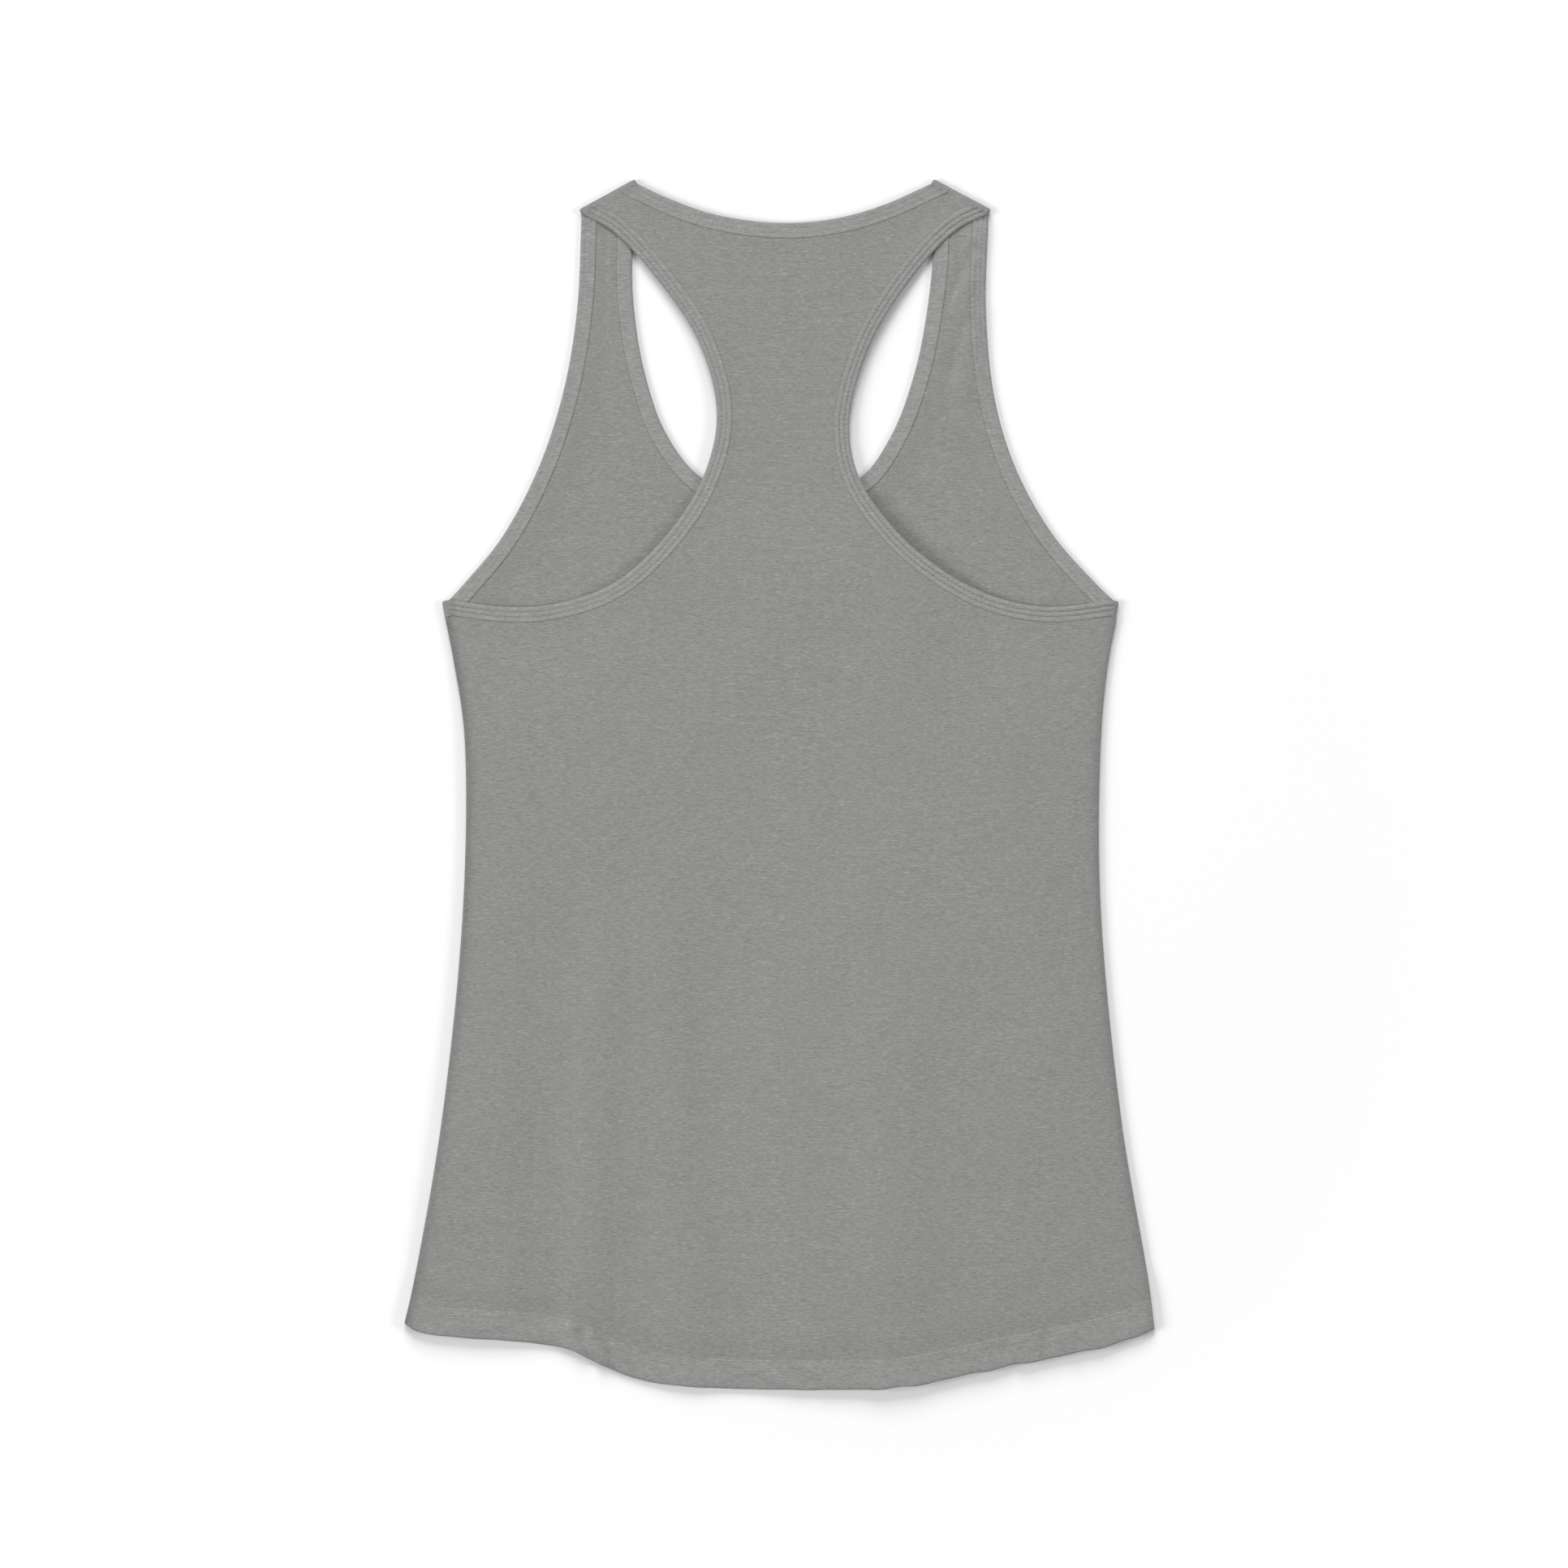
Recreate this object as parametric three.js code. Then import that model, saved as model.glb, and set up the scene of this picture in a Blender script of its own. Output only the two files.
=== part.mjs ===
// A racerback tank top in jersey, laid flat on a table with its back upwards.
// Millimetres. X runs across the garment, Y from the hem to the neck, Z up from the table.
// The front panel lies on the table, the back panel lies over it, and a folded strip binds
// the neck and each armhole: half of each strip is in the lower layer and half in the upper.
import * as THREE from "three";

// Cloth
const CLOTH_WALL = 1.2;
const BINDING_WALL = 2.0;
const BINDING_WIDTH = 8.6;
const BINDING_EASE = 0.5;
const HEM_DEPTH = 16;
const HEM_EXTRA_WALL = 1.0;
const HEM_EXTRA_RUN = 6;
const SEAM_GAP = 0.3;

// How the upper layer stands off the lower one
const LOFT = 5.0;
const LOFT_RUN = 12;
const HEM_LIFT_RUN = 25;
const FOLD_REACH = 2.7;
const SHEAR_RUN = 26;

// Grid steps
const BACK_COLUMNS = 22;
const FRONT_HALF_COLUMNS = 7;
const SIDE_ROWS = 14;
const ARMHOLE_FRONT_STEPS = 18;
const ARMHOLE_BACK_STEPS = 28;
const NECK_FRONT_STEPS = 32;
const SHOULDER_COLUMNS = 2;
const NECK_BACK_STEPS = BACK_COLUMNS - 2 * SHOULDER_COLUMNS - 2;
const FOLD_STEPS = 5;
const COLUMN_CROWDING = 0.75;
const ROW_SAG_POWER = 2.2;

// Edges of the garment as it lies, each a smooth curve through a few places
const SIDE_LEFT = [
  { x: -210, y: -303 },
  { x: -204.5, y: -279 },
  { x: -188.8, y: -188 },
  { x: -176.8, y: -66 },
  { x: -176.3, y: 28 },
  { x: -182, y: 67 },
  { x: -187.3, y: 94 },
];
const SIDE_RIGHT = [
  { x: 210.4, y: -305.5 },
  { x: 207, y: -279 },
  { x: 191.6, y: -188 },
  { x: 179.8, y: -64 },
  { x: 180.4, y: 28 },
  { x: 184.3, y: 67 },
  { x: 189.4, y: 94 },
];
const HEM = [
  { x: -210, y: -303 },
  { x: -203, y: -307.7 },
  { x: -138, y: -314.4 },
  { x: -117, y: -318 },
  { x: -98, y: -327 },
  { x: -76, y: -334.5 },
  { x: -46, y: -338.4 },
  { x: 36, y: -339.9 },
  { x: 70, y: -338 },
  { x: 110.6, y: -330 },
  { x: 193, y: -313 },
  { x: 210.4, y: -305.5 },
];
const FRONT_ARMHOLE_LEFT = [
  { x: -185.3, y: 103.3 },
  { x: -177.5, y: 111.8 },
  { x: -156, y: 138 },
  { x: -136, y: 175.5 },
  { x: -121.5, y: 219 },
  { x: -113.5, y: 266 },
  { x: -110.9, y: 319.7 },
];
const FRONT_ARMHOLE_RIGHT = [
  { x: 187.7, y: 103 },
  { x: 178.5, y: 111.8 },
  { x: 154, y: 139.5 },
  { x: 133.3, y: 176 },
  { x: 121, y: 216 },
  { x: 116, y: 266 },
  { x: 117.5, y: 319.7 },
];
const BACK_ARMHOLE_LEFT = [
  { x: -110.9, y: 319.7 },
  { x: -94, y: 310.5 },
  { x: -70, y: 285 },
  { x: -45, y: 247.5 },
  { x: -35, y: 206 },
  { x: -45, y: 167 },
  { x: -68, y: 134 },
  { x: -94, y: 112 },
  { x: -124, y: 101.5 },
  { x: -150, y: 99.3 },
  { x: -185.3, y: 103.3 },
];
const BACK_ARMHOLE_RIGHT = [
  { x: 117.5, y: 319.7 },
  { x: 100, y: 311 },
  { x: 76, y: 286 },
  { x: 51, y: 246 },
  { x: 39.5, y: 203 },
  { x: 45, y: 171.5 },
  { x: 67, y: 140.5 },
  { x: 93, y: 119 },
  { x: 121, y: 105 },
  { x: 150, y: 99.5 },
  { x: 187.7, y: 103 },
];
const NECK_SCOOP = [
  { x: -79.6, y: 336.8 },
  { x: -82.4, y: 300 },
  { x: -82, y: 272 },
  { x: -76, y: 233 },
  { x: -63, y: 196 },
  { x: -41.9, y: 170.6 },
  { x: 0, y: 157 },
  { x: 44.6, y: 171.5 },
  { x: 63, y: 196 },
  { x: 76, y: 231 },
  { x: 83, y: 266 },
  { x: 86.4, y: 300 },
  { x: 85.2, y: 336.8 },
];
const NECK_BACK = [
  { x: -79.6, y: 336.8 },
  { x: -62, y: 328.6 },
  { x: -35, y: 319.3 },
  { x: 0, y: 314.8 },
  { x: 30, y: 317 },
  { x: 56, y: 324 },
  { x: 85.2, y: 336.8 },
];

// How far the middle of each crosswise row of the back hangs below its two ends.
// "along" counts from the hem (0) to the underarm (1) and on to the shoulder (2).
const ROW_DIP = [
  { along: 0, dip: 34 },
  { along: 0.6, dip: 44 },
  { along: 1, dip: 74 },
  { along: 1.3, dip: 46 },
  { along: 1.6, dip: 10 },
  { along: 2, dip: 21 },
];

// Soft standing folds that run up from the hem of the back
const BODY_FOLDS = [
  { x: -109, halfWidth: 13, height: 1.2 },
  { x: -62, halfWidth: 12, height: 0.8 },
  { x: -4, halfWidth: 20, height: 0.8 },
  { x: 50, halfWidth: 15, height: 1.1 },
];
const FOLDS_START = 80;
const FOLDS_FULL = -300;

const UP = new THREE.Vector3(0, 0, 1);

const mix = (a, b, t) => a + (b - a) * t;
const clamp01 = (t) => Math.min(Math.max(t, 0), 1);
const smooth = (t) => clamp01(t) ** 2 * (3 - 2 * clamp01(t));

function curveThrough(places) {
  const points = places.map((place) => new THREE.Vector3(place.x, place.y, 0));
  return new THREE.CatmullRomCurve3(points, false, "centripetal");
}

function spaced(places, steps) {
  return curveThrough(places).getSpacedPoints(steps);
}

const reversed = (list) => [...list].reverse();

function tableAt(table, key, value, at) {
  const next = table.findIndex((row) => row[key] >= at);
  if (next <= 0) return table[next < 0 ? table.length - 1 : 0][value];
  const [low, high] = [table[next - 1], table[next]];
  return mix(low[value], high[value], smooth((at - low[key]) / (high[key] - low[key])));
}

// The four lines about which cloth folds from the lower layer to the upper one:
// "into" runs along the fold from the bound edge into the cloth, "out" points off the garment.
function foldLine(from, to) {
  const into = new THREE.Vector3(to.x - from.x, to.y - from.y, 0).normalize();
  return { from: new THREE.Vector3(from.x, from.y, 0), to: new THREE.Vector3(to.x, to.y, 0), into };
}

const shoulderLeft = foldLine(BACK_ARMHOLE_LEFT[0], NECK_BACK[0]);
const shoulderRight = foldLine(BACK_ARMHOLE_RIGHT[0], NECK_BACK[NECK_BACK.length - 1]);
const outLeft = new THREE.Vector3(-shoulderLeft.into.y, shoulderLeft.into.x, 0);
const outRight = new THREE.Vector3(shoulderRight.into.y, -shoulderRight.into.x, 0);
const underarmLeft = new THREE.Vector3(5.3, -27, 0).normalize();
const underarmRight = new THREE.Vector3(-5.1, -27, 0).normalize();

const FOLDS = {
  shoulderLeftArm: { into: shoulderLeft.into, out: outLeft },
  shoulderLeftNeck: { into: shoulderLeft.into.clone().negate(), out: outLeft },
  shoulderRightArm: { into: shoulderRight.into, out: outRight },
  shoulderRightNeck: { into: shoulderRight.into.clone().negate(), out: outRight },
  underarmLeft: { into: underarmLeft, out: new THREE.Vector3(underarmLeft.y, -underarmLeft.x, 0) },
  underarmRight: { into: underarmRight, out: new THREE.Vector3(-underarmRight.y, underarmRight.x, 0) },
};

// Distance from a place to the nearest folded edge: the two sides and the two shoulders.
const foldedEdges = [
  spaced(SIDE_LEFT, 24),
  spaced(SIDE_RIGHT, 24),
  [shoulderLeft.from, shoulderLeft.to].map((p) => p.clone().addScaledVector(outLeft, FOLD_REACH)),
  [shoulderRight.from, shoulderRight.to].map((p) => p.clone().addScaledVector(outRight, FOLD_REACH)),
];

function distanceToFoldedEdge(x, y) {
  const place = new THREE.Vector3(x, y, 0);
  const nearest = new THREE.Vector3();
  let least = Infinity;
  for (const line of foldedEdges) {
    for (let i = 1; i < line.length; i += 1) {
      new THREE.Line3(line[i - 1], line[i]).closestPointToPoint(place, true, nearest);
      least = Math.min(least, nearest.distanceTo(place));
    }
  }
  return least;
}

const hemSamples = spaced(HEM, 160);

function hemHeightAt(x) {
  const next = hemSamples.findIndex((p) => p.x >= x);
  if (next <= 0) return hemSamples[next < 0 ? hemSamples.length - 1 : 0].y;
  const [low, high] = [hemSamples[next - 1], hemSamples[next]];
  return mix(low.y, high.y, (x - low.x) / (high.x - low.x));
}

// Middle of the upper cloth above the table: it rises from each folded edge to its full
// loft, stands a little higher over the doubled hem, and carries the soft standing folds.
function upperMiddle(x, y) {
  const edge = clamp01(distanceToFoldedEdge(x, y) / LOFT_RUN);
  const rise = 1 - (1 - edge) ** 2;
  const hem = 1 - smooth((y - hemHeightAt(x) - HEM_DEPTH) / HEM_LIFT_RUN);
  const strength = smooth((FOLDS_START - y) / (FOLDS_START - FOLDS_FULL)) * rise;
  const folds = BODY_FOLDS.reduce(
    (sum, fold) => sum + fold.height * Math.exp(-(((x - fold.x) / fold.halfWidth) ** 2)),
    0,
  );
  const resting = CLOTH_WALL * 1.5 + SEAM_GAP;
  const overHem = 2 * HEM_EXTRA_WALL + 0.1;
  return resting + overHem * hem * (1 - 0.6 * rise) + LOFT * rise + folds * strength;
}

// A strip edge carried along a path: position, direction, the way to the cloth, and the
// slant that brings its last section onto the line it folds about.
function stripStations(places, steps, side, startFold, endFold) {
  const curve = curveThrough(places);
  const length = curve.getLength();
  const stations = [];
  for (let i = 0; i <= steps; i += 1) {
    const t = i / steps;
    const at = curve.getPointAt(t);
    const along = curve.getTangentAt(t).setZ(0).normalize();
    const toCloth = new THREE.Vector3(side * along.y, -side * along.x, 0);
    const start = smooth(1 - (t * length) / SHEAR_RUN);
    const end = smooth(1 - ((1 - t) * length) / SHEAR_RUN);
    const slant = start * slantAt(startFold, along, toCloth) + end * slantAt(endFold, along, toCloth);
    stations.push({ at, across: toCloth.clone().addScaledVector(along, slant) });
  }
  return stations;
}

function slantAt(fold, along, toCloth) {
  return fold.into.dot(along) / Math.max(fold.into.dot(toCloth), 0.3);
}

const placeAcross = (station, distance) => station.at.clone().addScaledVector(station.across, distance);

// Seam lines, where the panels end beside their bindings
const SEAM = BINDING_WIDTH + SEAM_GAP;
const FRONT_SIDE = 1;
const BACK_SIDE = -1;

const strips = {
  frontLeft: stripStations(
    FRONT_ARMHOLE_LEFT, ARMHOLE_FRONT_STEPS, FRONT_SIDE, FOLDS.underarmLeft, FOLDS.shoulderLeftArm,
  ),
  backLeft: stripStations(
    BACK_ARMHOLE_LEFT, ARMHOLE_BACK_STEPS, BACK_SIDE, FOLDS.shoulderLeftArm, FOLDS.underarmLeft,
  ),
  frontRight: stripStations(
    reversed(FRONT_ARMHOLE_RIGHT), ARMHOLE_FRONT_STEPS, FRONT_SIDE,
    FOLDS.shoulderRightArm, FOLDS.underarmRight,
  ),
  backRight: stripStations(
    reversed(BACK_ARMHOLE_RIGHT), ARMHOLE_BACK_STEPS, BACK_SIDE, FOLDS.underarmRight, FOLDS.shoulderRightArm,
  ),
  frontNeck: stripStations(
    NECK_SCOOP, NECK_FRONT_STEPS, FRONT_SIDE, FOLDS.shoulderLeftNeck, FOLDS.shoulderRightNeck,
  ),
  backNeck: stripStations(
    reversed(NECK_BACK), NECK_BACK_STEPS, BACK_SIDE, FOLDS.shoulderRightNeck, FOLDS.shoulderLeftNeck,
  ),
};

function seamPoints(stations, startReach, endReach) {
  const points = stations.map((station) => placeAcross(station, SEAM));
  if (startReach) points.unshift(points[0].clone().addScaledVector(startReach, FOLD_REACH));
  if (endReach) points.push(points[points.length - 1].clone().addScaledVector(endReach, FOLD_REACH));
  return points;
}

// Left or right boundary of a panel: up the side, then along the armhole seam.
const boundary = (side, seam) => [...spaced(side, SIDE_ROWS).slice(0, -1), ...seam];

// A name for a place, the same for places that share it to a hundredth of a millimetre.
const placeName = (x, y) => `${Math.round(x * 100)},${Math.round(y * 100)}`;

// A flat mesh of quads from rows of places; rows that share places are joined there.
function meshRows(blocks) {
  const places = [];
  const quads = [];
  const found = new Map();
  const indexOf = (p) => {
    const name = placeName(p.x, p.y);
    if (!found.has(name)) {
      found.set(name, places.length);
      places.push(p);
    }
    return found.get(name);
  };
  for (const rows of blocks) {
    for (let r = 1; r < rows.length; r += 1) {
      for (let c = 1; c < rows[r].length; c += 1) {
        const corners = [rows[r - 1][c - 1], rows[r - 1][c], rows[r][c], rows[r][c - 1]];
        quads.push(corners.map(indexOf));
      }
    }
  }
  return { places, quads };
}

// Closes a flat mesh into a solid between two height functions.
function sheetSolid({ places, quads }, bottomAt, topAt) {
  const count = places.length;
  const position = [];
  places.forEach((p) => position.push(p.x, p.y, bottomAt(p.x, p.y)));
  places.forEach((p) => position.push(p.x, p.y, topAt(p.x, p.y)));
  const index = [];
  const open = new Map();
  for (const quad of quads) {
    const ring = quad.filter((corner, i) => corner !== quad[(i + 1) % quad.length]);
    for (let i = 1; i < ring.length - 1; i += 1) {
      index.push(count + ring[0], count + ring[i], count + ring[i + 1]);
      index.push(ring[0], ring[i + 1], ring[i]);
    }
    ring.forEach((a, i) => {
      const b = ring[(i + 1) % ring.length];
      if (!open.delete(`${b},${a}`)) open.set(`${a},${b}`, [a, b]);
    });
  }
  for (const [a, b] of open.values()) {
    index.push(a, b, count + b);
    index.push(a, count + b, count + a);
  }
  const geometry = new THREE.BufferGeometry();
  geometry.setAttribute("position", new THREE.Float32BufferAttribute(position, 3));
  geometry.setIndex(index);
  return geometry;
}

// Back panel: crosswise rows whose middles hang below their ends, so that they fan out
// round the low corners of the armholes, then corrected to meet the hem and the neck.
function backRows() {
  const left = boundary(SIDE_LEFT, seamPoints(reversed(strips.backLeft), null, outLeft));
  const right = boundary(SIDE_RIGHT, seamPoints(strips.backRight, null, outRight));
  const neckSeam = seamPoints(reversed(strips.backNeck), outLeft, outRight);
  const columns = [];
  for (let c = 0; c <= BACK_COLUMNS; c += 1) {
    const u = c / BACK_COLUMNS;
    columns.push(u - (COLUMN_CROWDING * Math.sin(2 * Math.PI * u)) / (2 * Math.PI));
  }
  const last = left.length - 1;
  const armholeRows = last - SIDE_ROWS;
  const plain = (r, u) => {
    const along = r <= SIDE_ROWS ? r / SIDE_ROWS : 1 + (r - SIDE_ROWS) / armholeRows;
    const end = mix(left[r].y, right[r].y, u);
    const dip = tableAt(ROW_DIP, "along", "dip", along) * (1 - Math.abs(2 * u - 1) ** ROW_SAG_POWER);
    return new THREE.Vector3(mix(left[r].x, right[r].x, u), end - dip, 0);
  };
  const hemAt = (u) => {
    const x = mix(left[0].x, right[0].x, u);
    return new THREE.Vector3(x, hemHeightAt(x), 0);
  };
  const neckAt = (c) => {
    const fromEnd = Math.min(c, BACK_COLUMNS - c);
    if (fromEnd >= SHOULDER_COLUMNS) return neckSeam[c - SHOULDER_COLUMNS];
    const corner = c === fromEnd ? left[last] : right[last];
    const neckEnd = c === fromEnd ? neckSeam[0] : neckSeam[neckSeam.length - 1];
    return corner.clone().lerp(neckEnd, fromEnd / SHOULDER_COLUMNS);
  };
  return left.map((_, r) =>
    columns.map((u, c) => {
      const place = plain(r, u);
      const nearHem = (1 - clamp01(r / SIDE_ROWS)) ** 2;
      const nearNeck = clamp01((r - SIDE_ROWS) / armholeRows) ** 3;
      place.addScaledVector(hemAt(u).sub(plain(0, u)), nearHem);
      place.addScaledVector(neckAt(c).clone().sub(plain(last, u)), nearNeck);
      return place;
    }),
  );
}

// One half of the front panel: rows from the side and armhole seam to the middle line and
// then to the neck seam, which it follows up the strap.
function frontHalfRows(side, armSeam, neckHalf) {
  const outer = boundary(side, armSeam);
  const low = new THREE.Vector3(0, hemHeightAt(0), 0);
  const middleRows = outer.length - neckHalf.length;
  const inner = outer.map((_, r) => {
    if (r < middleRows) return low.clone().lerp(neckHalf[0], r / middleRows);
    return neckHalf[r - middleRows];
  });
  return outer.map((start, r) => {
    const row = [];
    for (let c = 0; c <= FRONT_HALF_COLUMNS; c += 1) {
      const place = start.clone().lerp(inner[r], c / FRONT_HALF_COLUMNS);
      const nearHem = (1 - clamp01(r / SIDE_ROWS)) ** 2;
      const straight = mix(outer[0].y, low.y, c / FRONT_HALF_COLUMNS);
      const edge = mix(outer[0].x, low.x, c / FRONT_HALF_COLUMNS);
      place.y += (hemHeightAt(edge) - straight) * nearHem;
      row.push(place);
    }
    return row;
  });
}

function frontBlocks() {
  const neck = seamPoints(strips.frontNeck, outLeft, outRight);
  const half = neck.length >> 1;
  neck[half].x = 0;
  const leftNeck = neck.slice(0, half + 1).reverse();
  const rightNeck = neck.slice(half);
  const leftSeam = seamPoints(strips.frontLeft, null, outLeft);
  const rightSeam = seamPoints(reversed(strips.frontRight), null, outRight);
  const left = frontHalfRows(SIDE_LEFT, leftSeam, leftNeck);
  const right = frontHalfRows(SIDE_RIGHT, rightSeam, rightNeck).map(reversed);
  return [left, right];
}

// A binding: a flat loop with its outer edge eased, carried through the lower half, over a
// fold, back through the upper half, and down over the second fold.
function bindingSection(origin, across, normal) {
  const half = BINDING_WALL / 2;
  const corners = [
    [0, -half + BINDING_EASE],
    [BINDING_EASE, -half],
    [BINDING_WIDTH, -half],
    [BINDING_WIDTH, half],
    [BINDING_EASE, half],
    [0, half - BINDING_EASE],
  ];
  return corners.map(([sideways, off]) =>
    origin.clone().addScaledVector(across, sideways).addScaledVector(normal, off),
  );
}

function bindingLoop(lower, upper, firstFold, secondFold) {
  const lowerHeight = BINDING_WALL / 2;
  const down = UP.clone().negate();
  const upperHeight = (station) => {
    const middle = placeAcross(station, BINDING_WIDTH / 2);
    return upperMiddle(middle.x, middle.y);
  };
  const sections = [];
  const addFlat = (station, height, normal) => {
    const origin = station.at.clone().setZ(height);
    sections.push(bindingSection(origin, station.across, normal));
  };
  const addFold = (from, to, fold, top, rising) => {
    const radius = (top - lowerHeight) / 2;
    for (let i = 1; i < FOLD_STEPS; i += 1) {
      const share = i / FOLD_STEPS;
      const angle = (rising ? share - 0.5 : 0.5 - share) * Math.PI;
      const normal = fold.out.clone().multiplyScalar(Math.cos(angle)).addScaledVector(UP, Math.sin(angle));
      const origin = from.at.clone().lerp(to.at, share).setZ(lowerHeight + radius);
      origin.addScaledVector(normal, radius);
      sections.push(bindingSection(origin, from.across.clone().lerp(to.across, share), normal));
    }
  };
  lower.forEach((station) => addFlat(station, lowerHeight, down));
  addFold(lower[lower.length - 1], upper[0], firstFold, upperHeight(upper[0]), true);
  upper.forEach((station) => addFlat(station, upperHeight(station), UP));
  addFold(upper[upper.length - 1], lower[0], secondFold, upperHeight(upper[upper.length - 1]), false);
  const size = sections[0].length;
  const position = sections.flat().flatMap((p) => [p.x, p.y, p.z]);
  const index = [];
  for (let s = 0; s < sections.length; s += 1) {
    const next = (s + 1) % sections.length;
    for (let i = 0; i < size; i += 1) {
      const j = (i + 1) % size;
      const [a, b, c, d] = [s * size + i, s * size + j, next * size + j, next * size + i];
      index.push(a, b, c);
      index.push(a, c, d);
    }
  }
  const geometry = new THREE.BufferGeometry();
  geometry.setAttribute("position", new THREE.Float32BufferAttribute(position, 3));
  geometry.setIndex(index);
  return geometry;
}

function cloth(name, geometry, colour) {
  geometry.computeVertexNormals();
  const material = new THREE.MeshStandardMaterial({ color: colour, roughness: 0.9, metalness: 0 });
  const mesh = new THREE.Mesh(geometry, material);
  mesh.name = name;
  return mesh;
}

// Extra cloth of the turned-up hem, on the inner face of each panel
const hemExtra = (x, y) => {
  const above = y - hemHeightAt(x);
  return HEM_EXTRA_WALL * (1 - smooth((above - HEM_DEPTH) / HEM_EXTRA_RUN));
};

const PANEL_GREY = "#8e8e8c";
const BINDING_GREY = "#989896";

const garment = new THREE.Group();
garment.name = "racerback_tank_top";

garment.add(
  cloth(
    "front_panel",
    sheetSolid(meshRows(frontBlocks()), () => 0, (x, y) => CLOTH_WALL + hemExtra(x, y)),
    PANEL_GREY,
  ),
  cloth(
    "back_panel",
    sheetSolid(
      meshRows([backRows()]),
      (x, y) => upperMiddle(x, y) - CLOTH_WALL / 2 - hemExtra(x, y),
      (x, y) => upperMiddle(x, y) + CLOTH_WALL / 2,
    ),
    PANEL_GREY,
  ),
  cloth(
    "neck_binding",
    bindingLoop(strips.frontNeck, strips.backNeck, FOLDS.shoulderRightNeck, FOLDS.shoulderLeftNeck),
    BINDING_GREY,
  ),
  cloth(
    "armhole_binding_left",
    bindingLoop(strips.frontLeft, strips.backLeft, FOLDS.shoulderLeftArm, FOLDS.underarmLeft),
    BINDING_GREY,
  ),
  cloth(
    "armhole_binding_right",
    bindingLoop(strips.frontRight, strips.backRight, FOLDS.underarmRight, FOLDS.shoulderRightArm),
    BINDING_GREY,
  ),
);

// The frame's origin is the middle of the garment's underside.
const bounds = new THREE.Box3().setFromObject(garment);
garment.position.set(
  -(bounds.min.x + bounds.max.x) / 2,
  -(bounds.min.y + bounds.max.y) / 2,
  -bounds.min.z,
);

export default garment;
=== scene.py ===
"""A racerback tank top in grey heather jersey, laid flat with its back upwards.

The garment is two panels and three folded bindings. Lengths inside the shape functions are in
millimetres: x across the garment, y from the hem to the neck, z up from the table.
"""

import math

import bpy
import numpy as np
from bpy.props import FloatProperty, FloatVectorProperty, IntProperty, PointerProperty
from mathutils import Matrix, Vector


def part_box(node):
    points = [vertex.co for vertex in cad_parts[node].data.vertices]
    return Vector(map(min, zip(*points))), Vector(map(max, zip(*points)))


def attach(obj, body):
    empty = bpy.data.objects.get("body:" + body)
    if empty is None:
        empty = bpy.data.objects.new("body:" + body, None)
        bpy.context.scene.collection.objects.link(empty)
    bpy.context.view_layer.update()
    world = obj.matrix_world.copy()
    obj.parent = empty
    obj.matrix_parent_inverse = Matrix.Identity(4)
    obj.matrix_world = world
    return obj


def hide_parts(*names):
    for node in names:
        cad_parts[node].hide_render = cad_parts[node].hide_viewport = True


bl_info = {
    "name": "Racerback Tank Top",
    "version": (1, 0, 0),
    "blender": (4, 5, 0),
    "location": "View3D > Sidebar > Tank Top",
    "description": "Builds a heather jersey racerback tank top, laid flat with its back upwards",
    "category": "Object",
}

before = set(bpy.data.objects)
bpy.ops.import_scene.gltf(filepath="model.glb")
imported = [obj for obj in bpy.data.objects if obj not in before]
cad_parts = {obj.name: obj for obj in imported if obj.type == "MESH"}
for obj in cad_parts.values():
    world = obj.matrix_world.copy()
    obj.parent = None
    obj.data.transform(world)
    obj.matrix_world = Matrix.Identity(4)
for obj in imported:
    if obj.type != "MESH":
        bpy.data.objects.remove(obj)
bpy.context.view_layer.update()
MM = 0.001

# The edges of the garment as it lies, each a smooth curve through (x, y) places.
SIDE_LEFT = (
    (-210, -303), (-204.5, -279), (-188.8, -188), (-176.8, -66), (-176.3, 28), (-182, 67), (-187.3, 94),
)
SIDE_RIGHT = (
    (210.4, -305.5), (207, -279), (191.6, -188), (179.8, -64), (180.4, 28), (184.3, 67), (189.4, 94),
)
HEM = (
    (-210, -302), (-203, -306.7), (-138, -313.3), (-117, -317.2), (-98, -326.5), (-76, -334.3),
    (-46, -338), (36, -339.3), (70, -337.8), (110.6, -329.8), (193, -312.4), (210.4, -305.2),
)
FRONT_ARMHOLE_LEFT = (
    (-185.3, 103.3), (-177.5, 111.8), (-156, 138), (-136, 175.5), (-121.5, 219), (-113.5, 266),
    (-110.9, 319.7),
)
FRONT_ARMHOLE_RIGHT = (
    (187.7, 103), (178.5, 111.8), (154, 139.5), (133.3, 176), (121, 216), (116, 266),
    (117.5, 319.7),
)
BACK_ARMHOLE_LEFT = (
    (-110.9, 319.7), (-94, 310.5), (-70, 285), (-45, 247.5), (-35, 206), (-45, 167),
    (-68, 134), (-94, 112), (-124, 101.5), (-150, 99.3), (-185.3, 103.3),
)
BACK_ARMHOLE_RIGHT = (
    (117.5, 319.7), (100, 311), (76, 286), (51, 246), (39.5, 203), (45, 171.5),
    (67, 140.5), (93, 119), (121, 105), (150, 99.5), (187.7, 103),
)
NECK_SCOOP = (
    (-79.6, 336.8), (-82.4, 300), (-82, 272), (-76, 233), (-63, 196), (-41.9, 170.6), (0, 157),
    (44.6, 171.5), (63, 196), (76, 231), (83, 266), (86.4, 300), (85.2, 336.8),
)
NECK_BACK = (
    (-79.6, 336.8), (-62, 328.6), (-35, 319.3), (0, 314.8), (30, 317), (56, 324), (85.2, 336.8),
)

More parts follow.
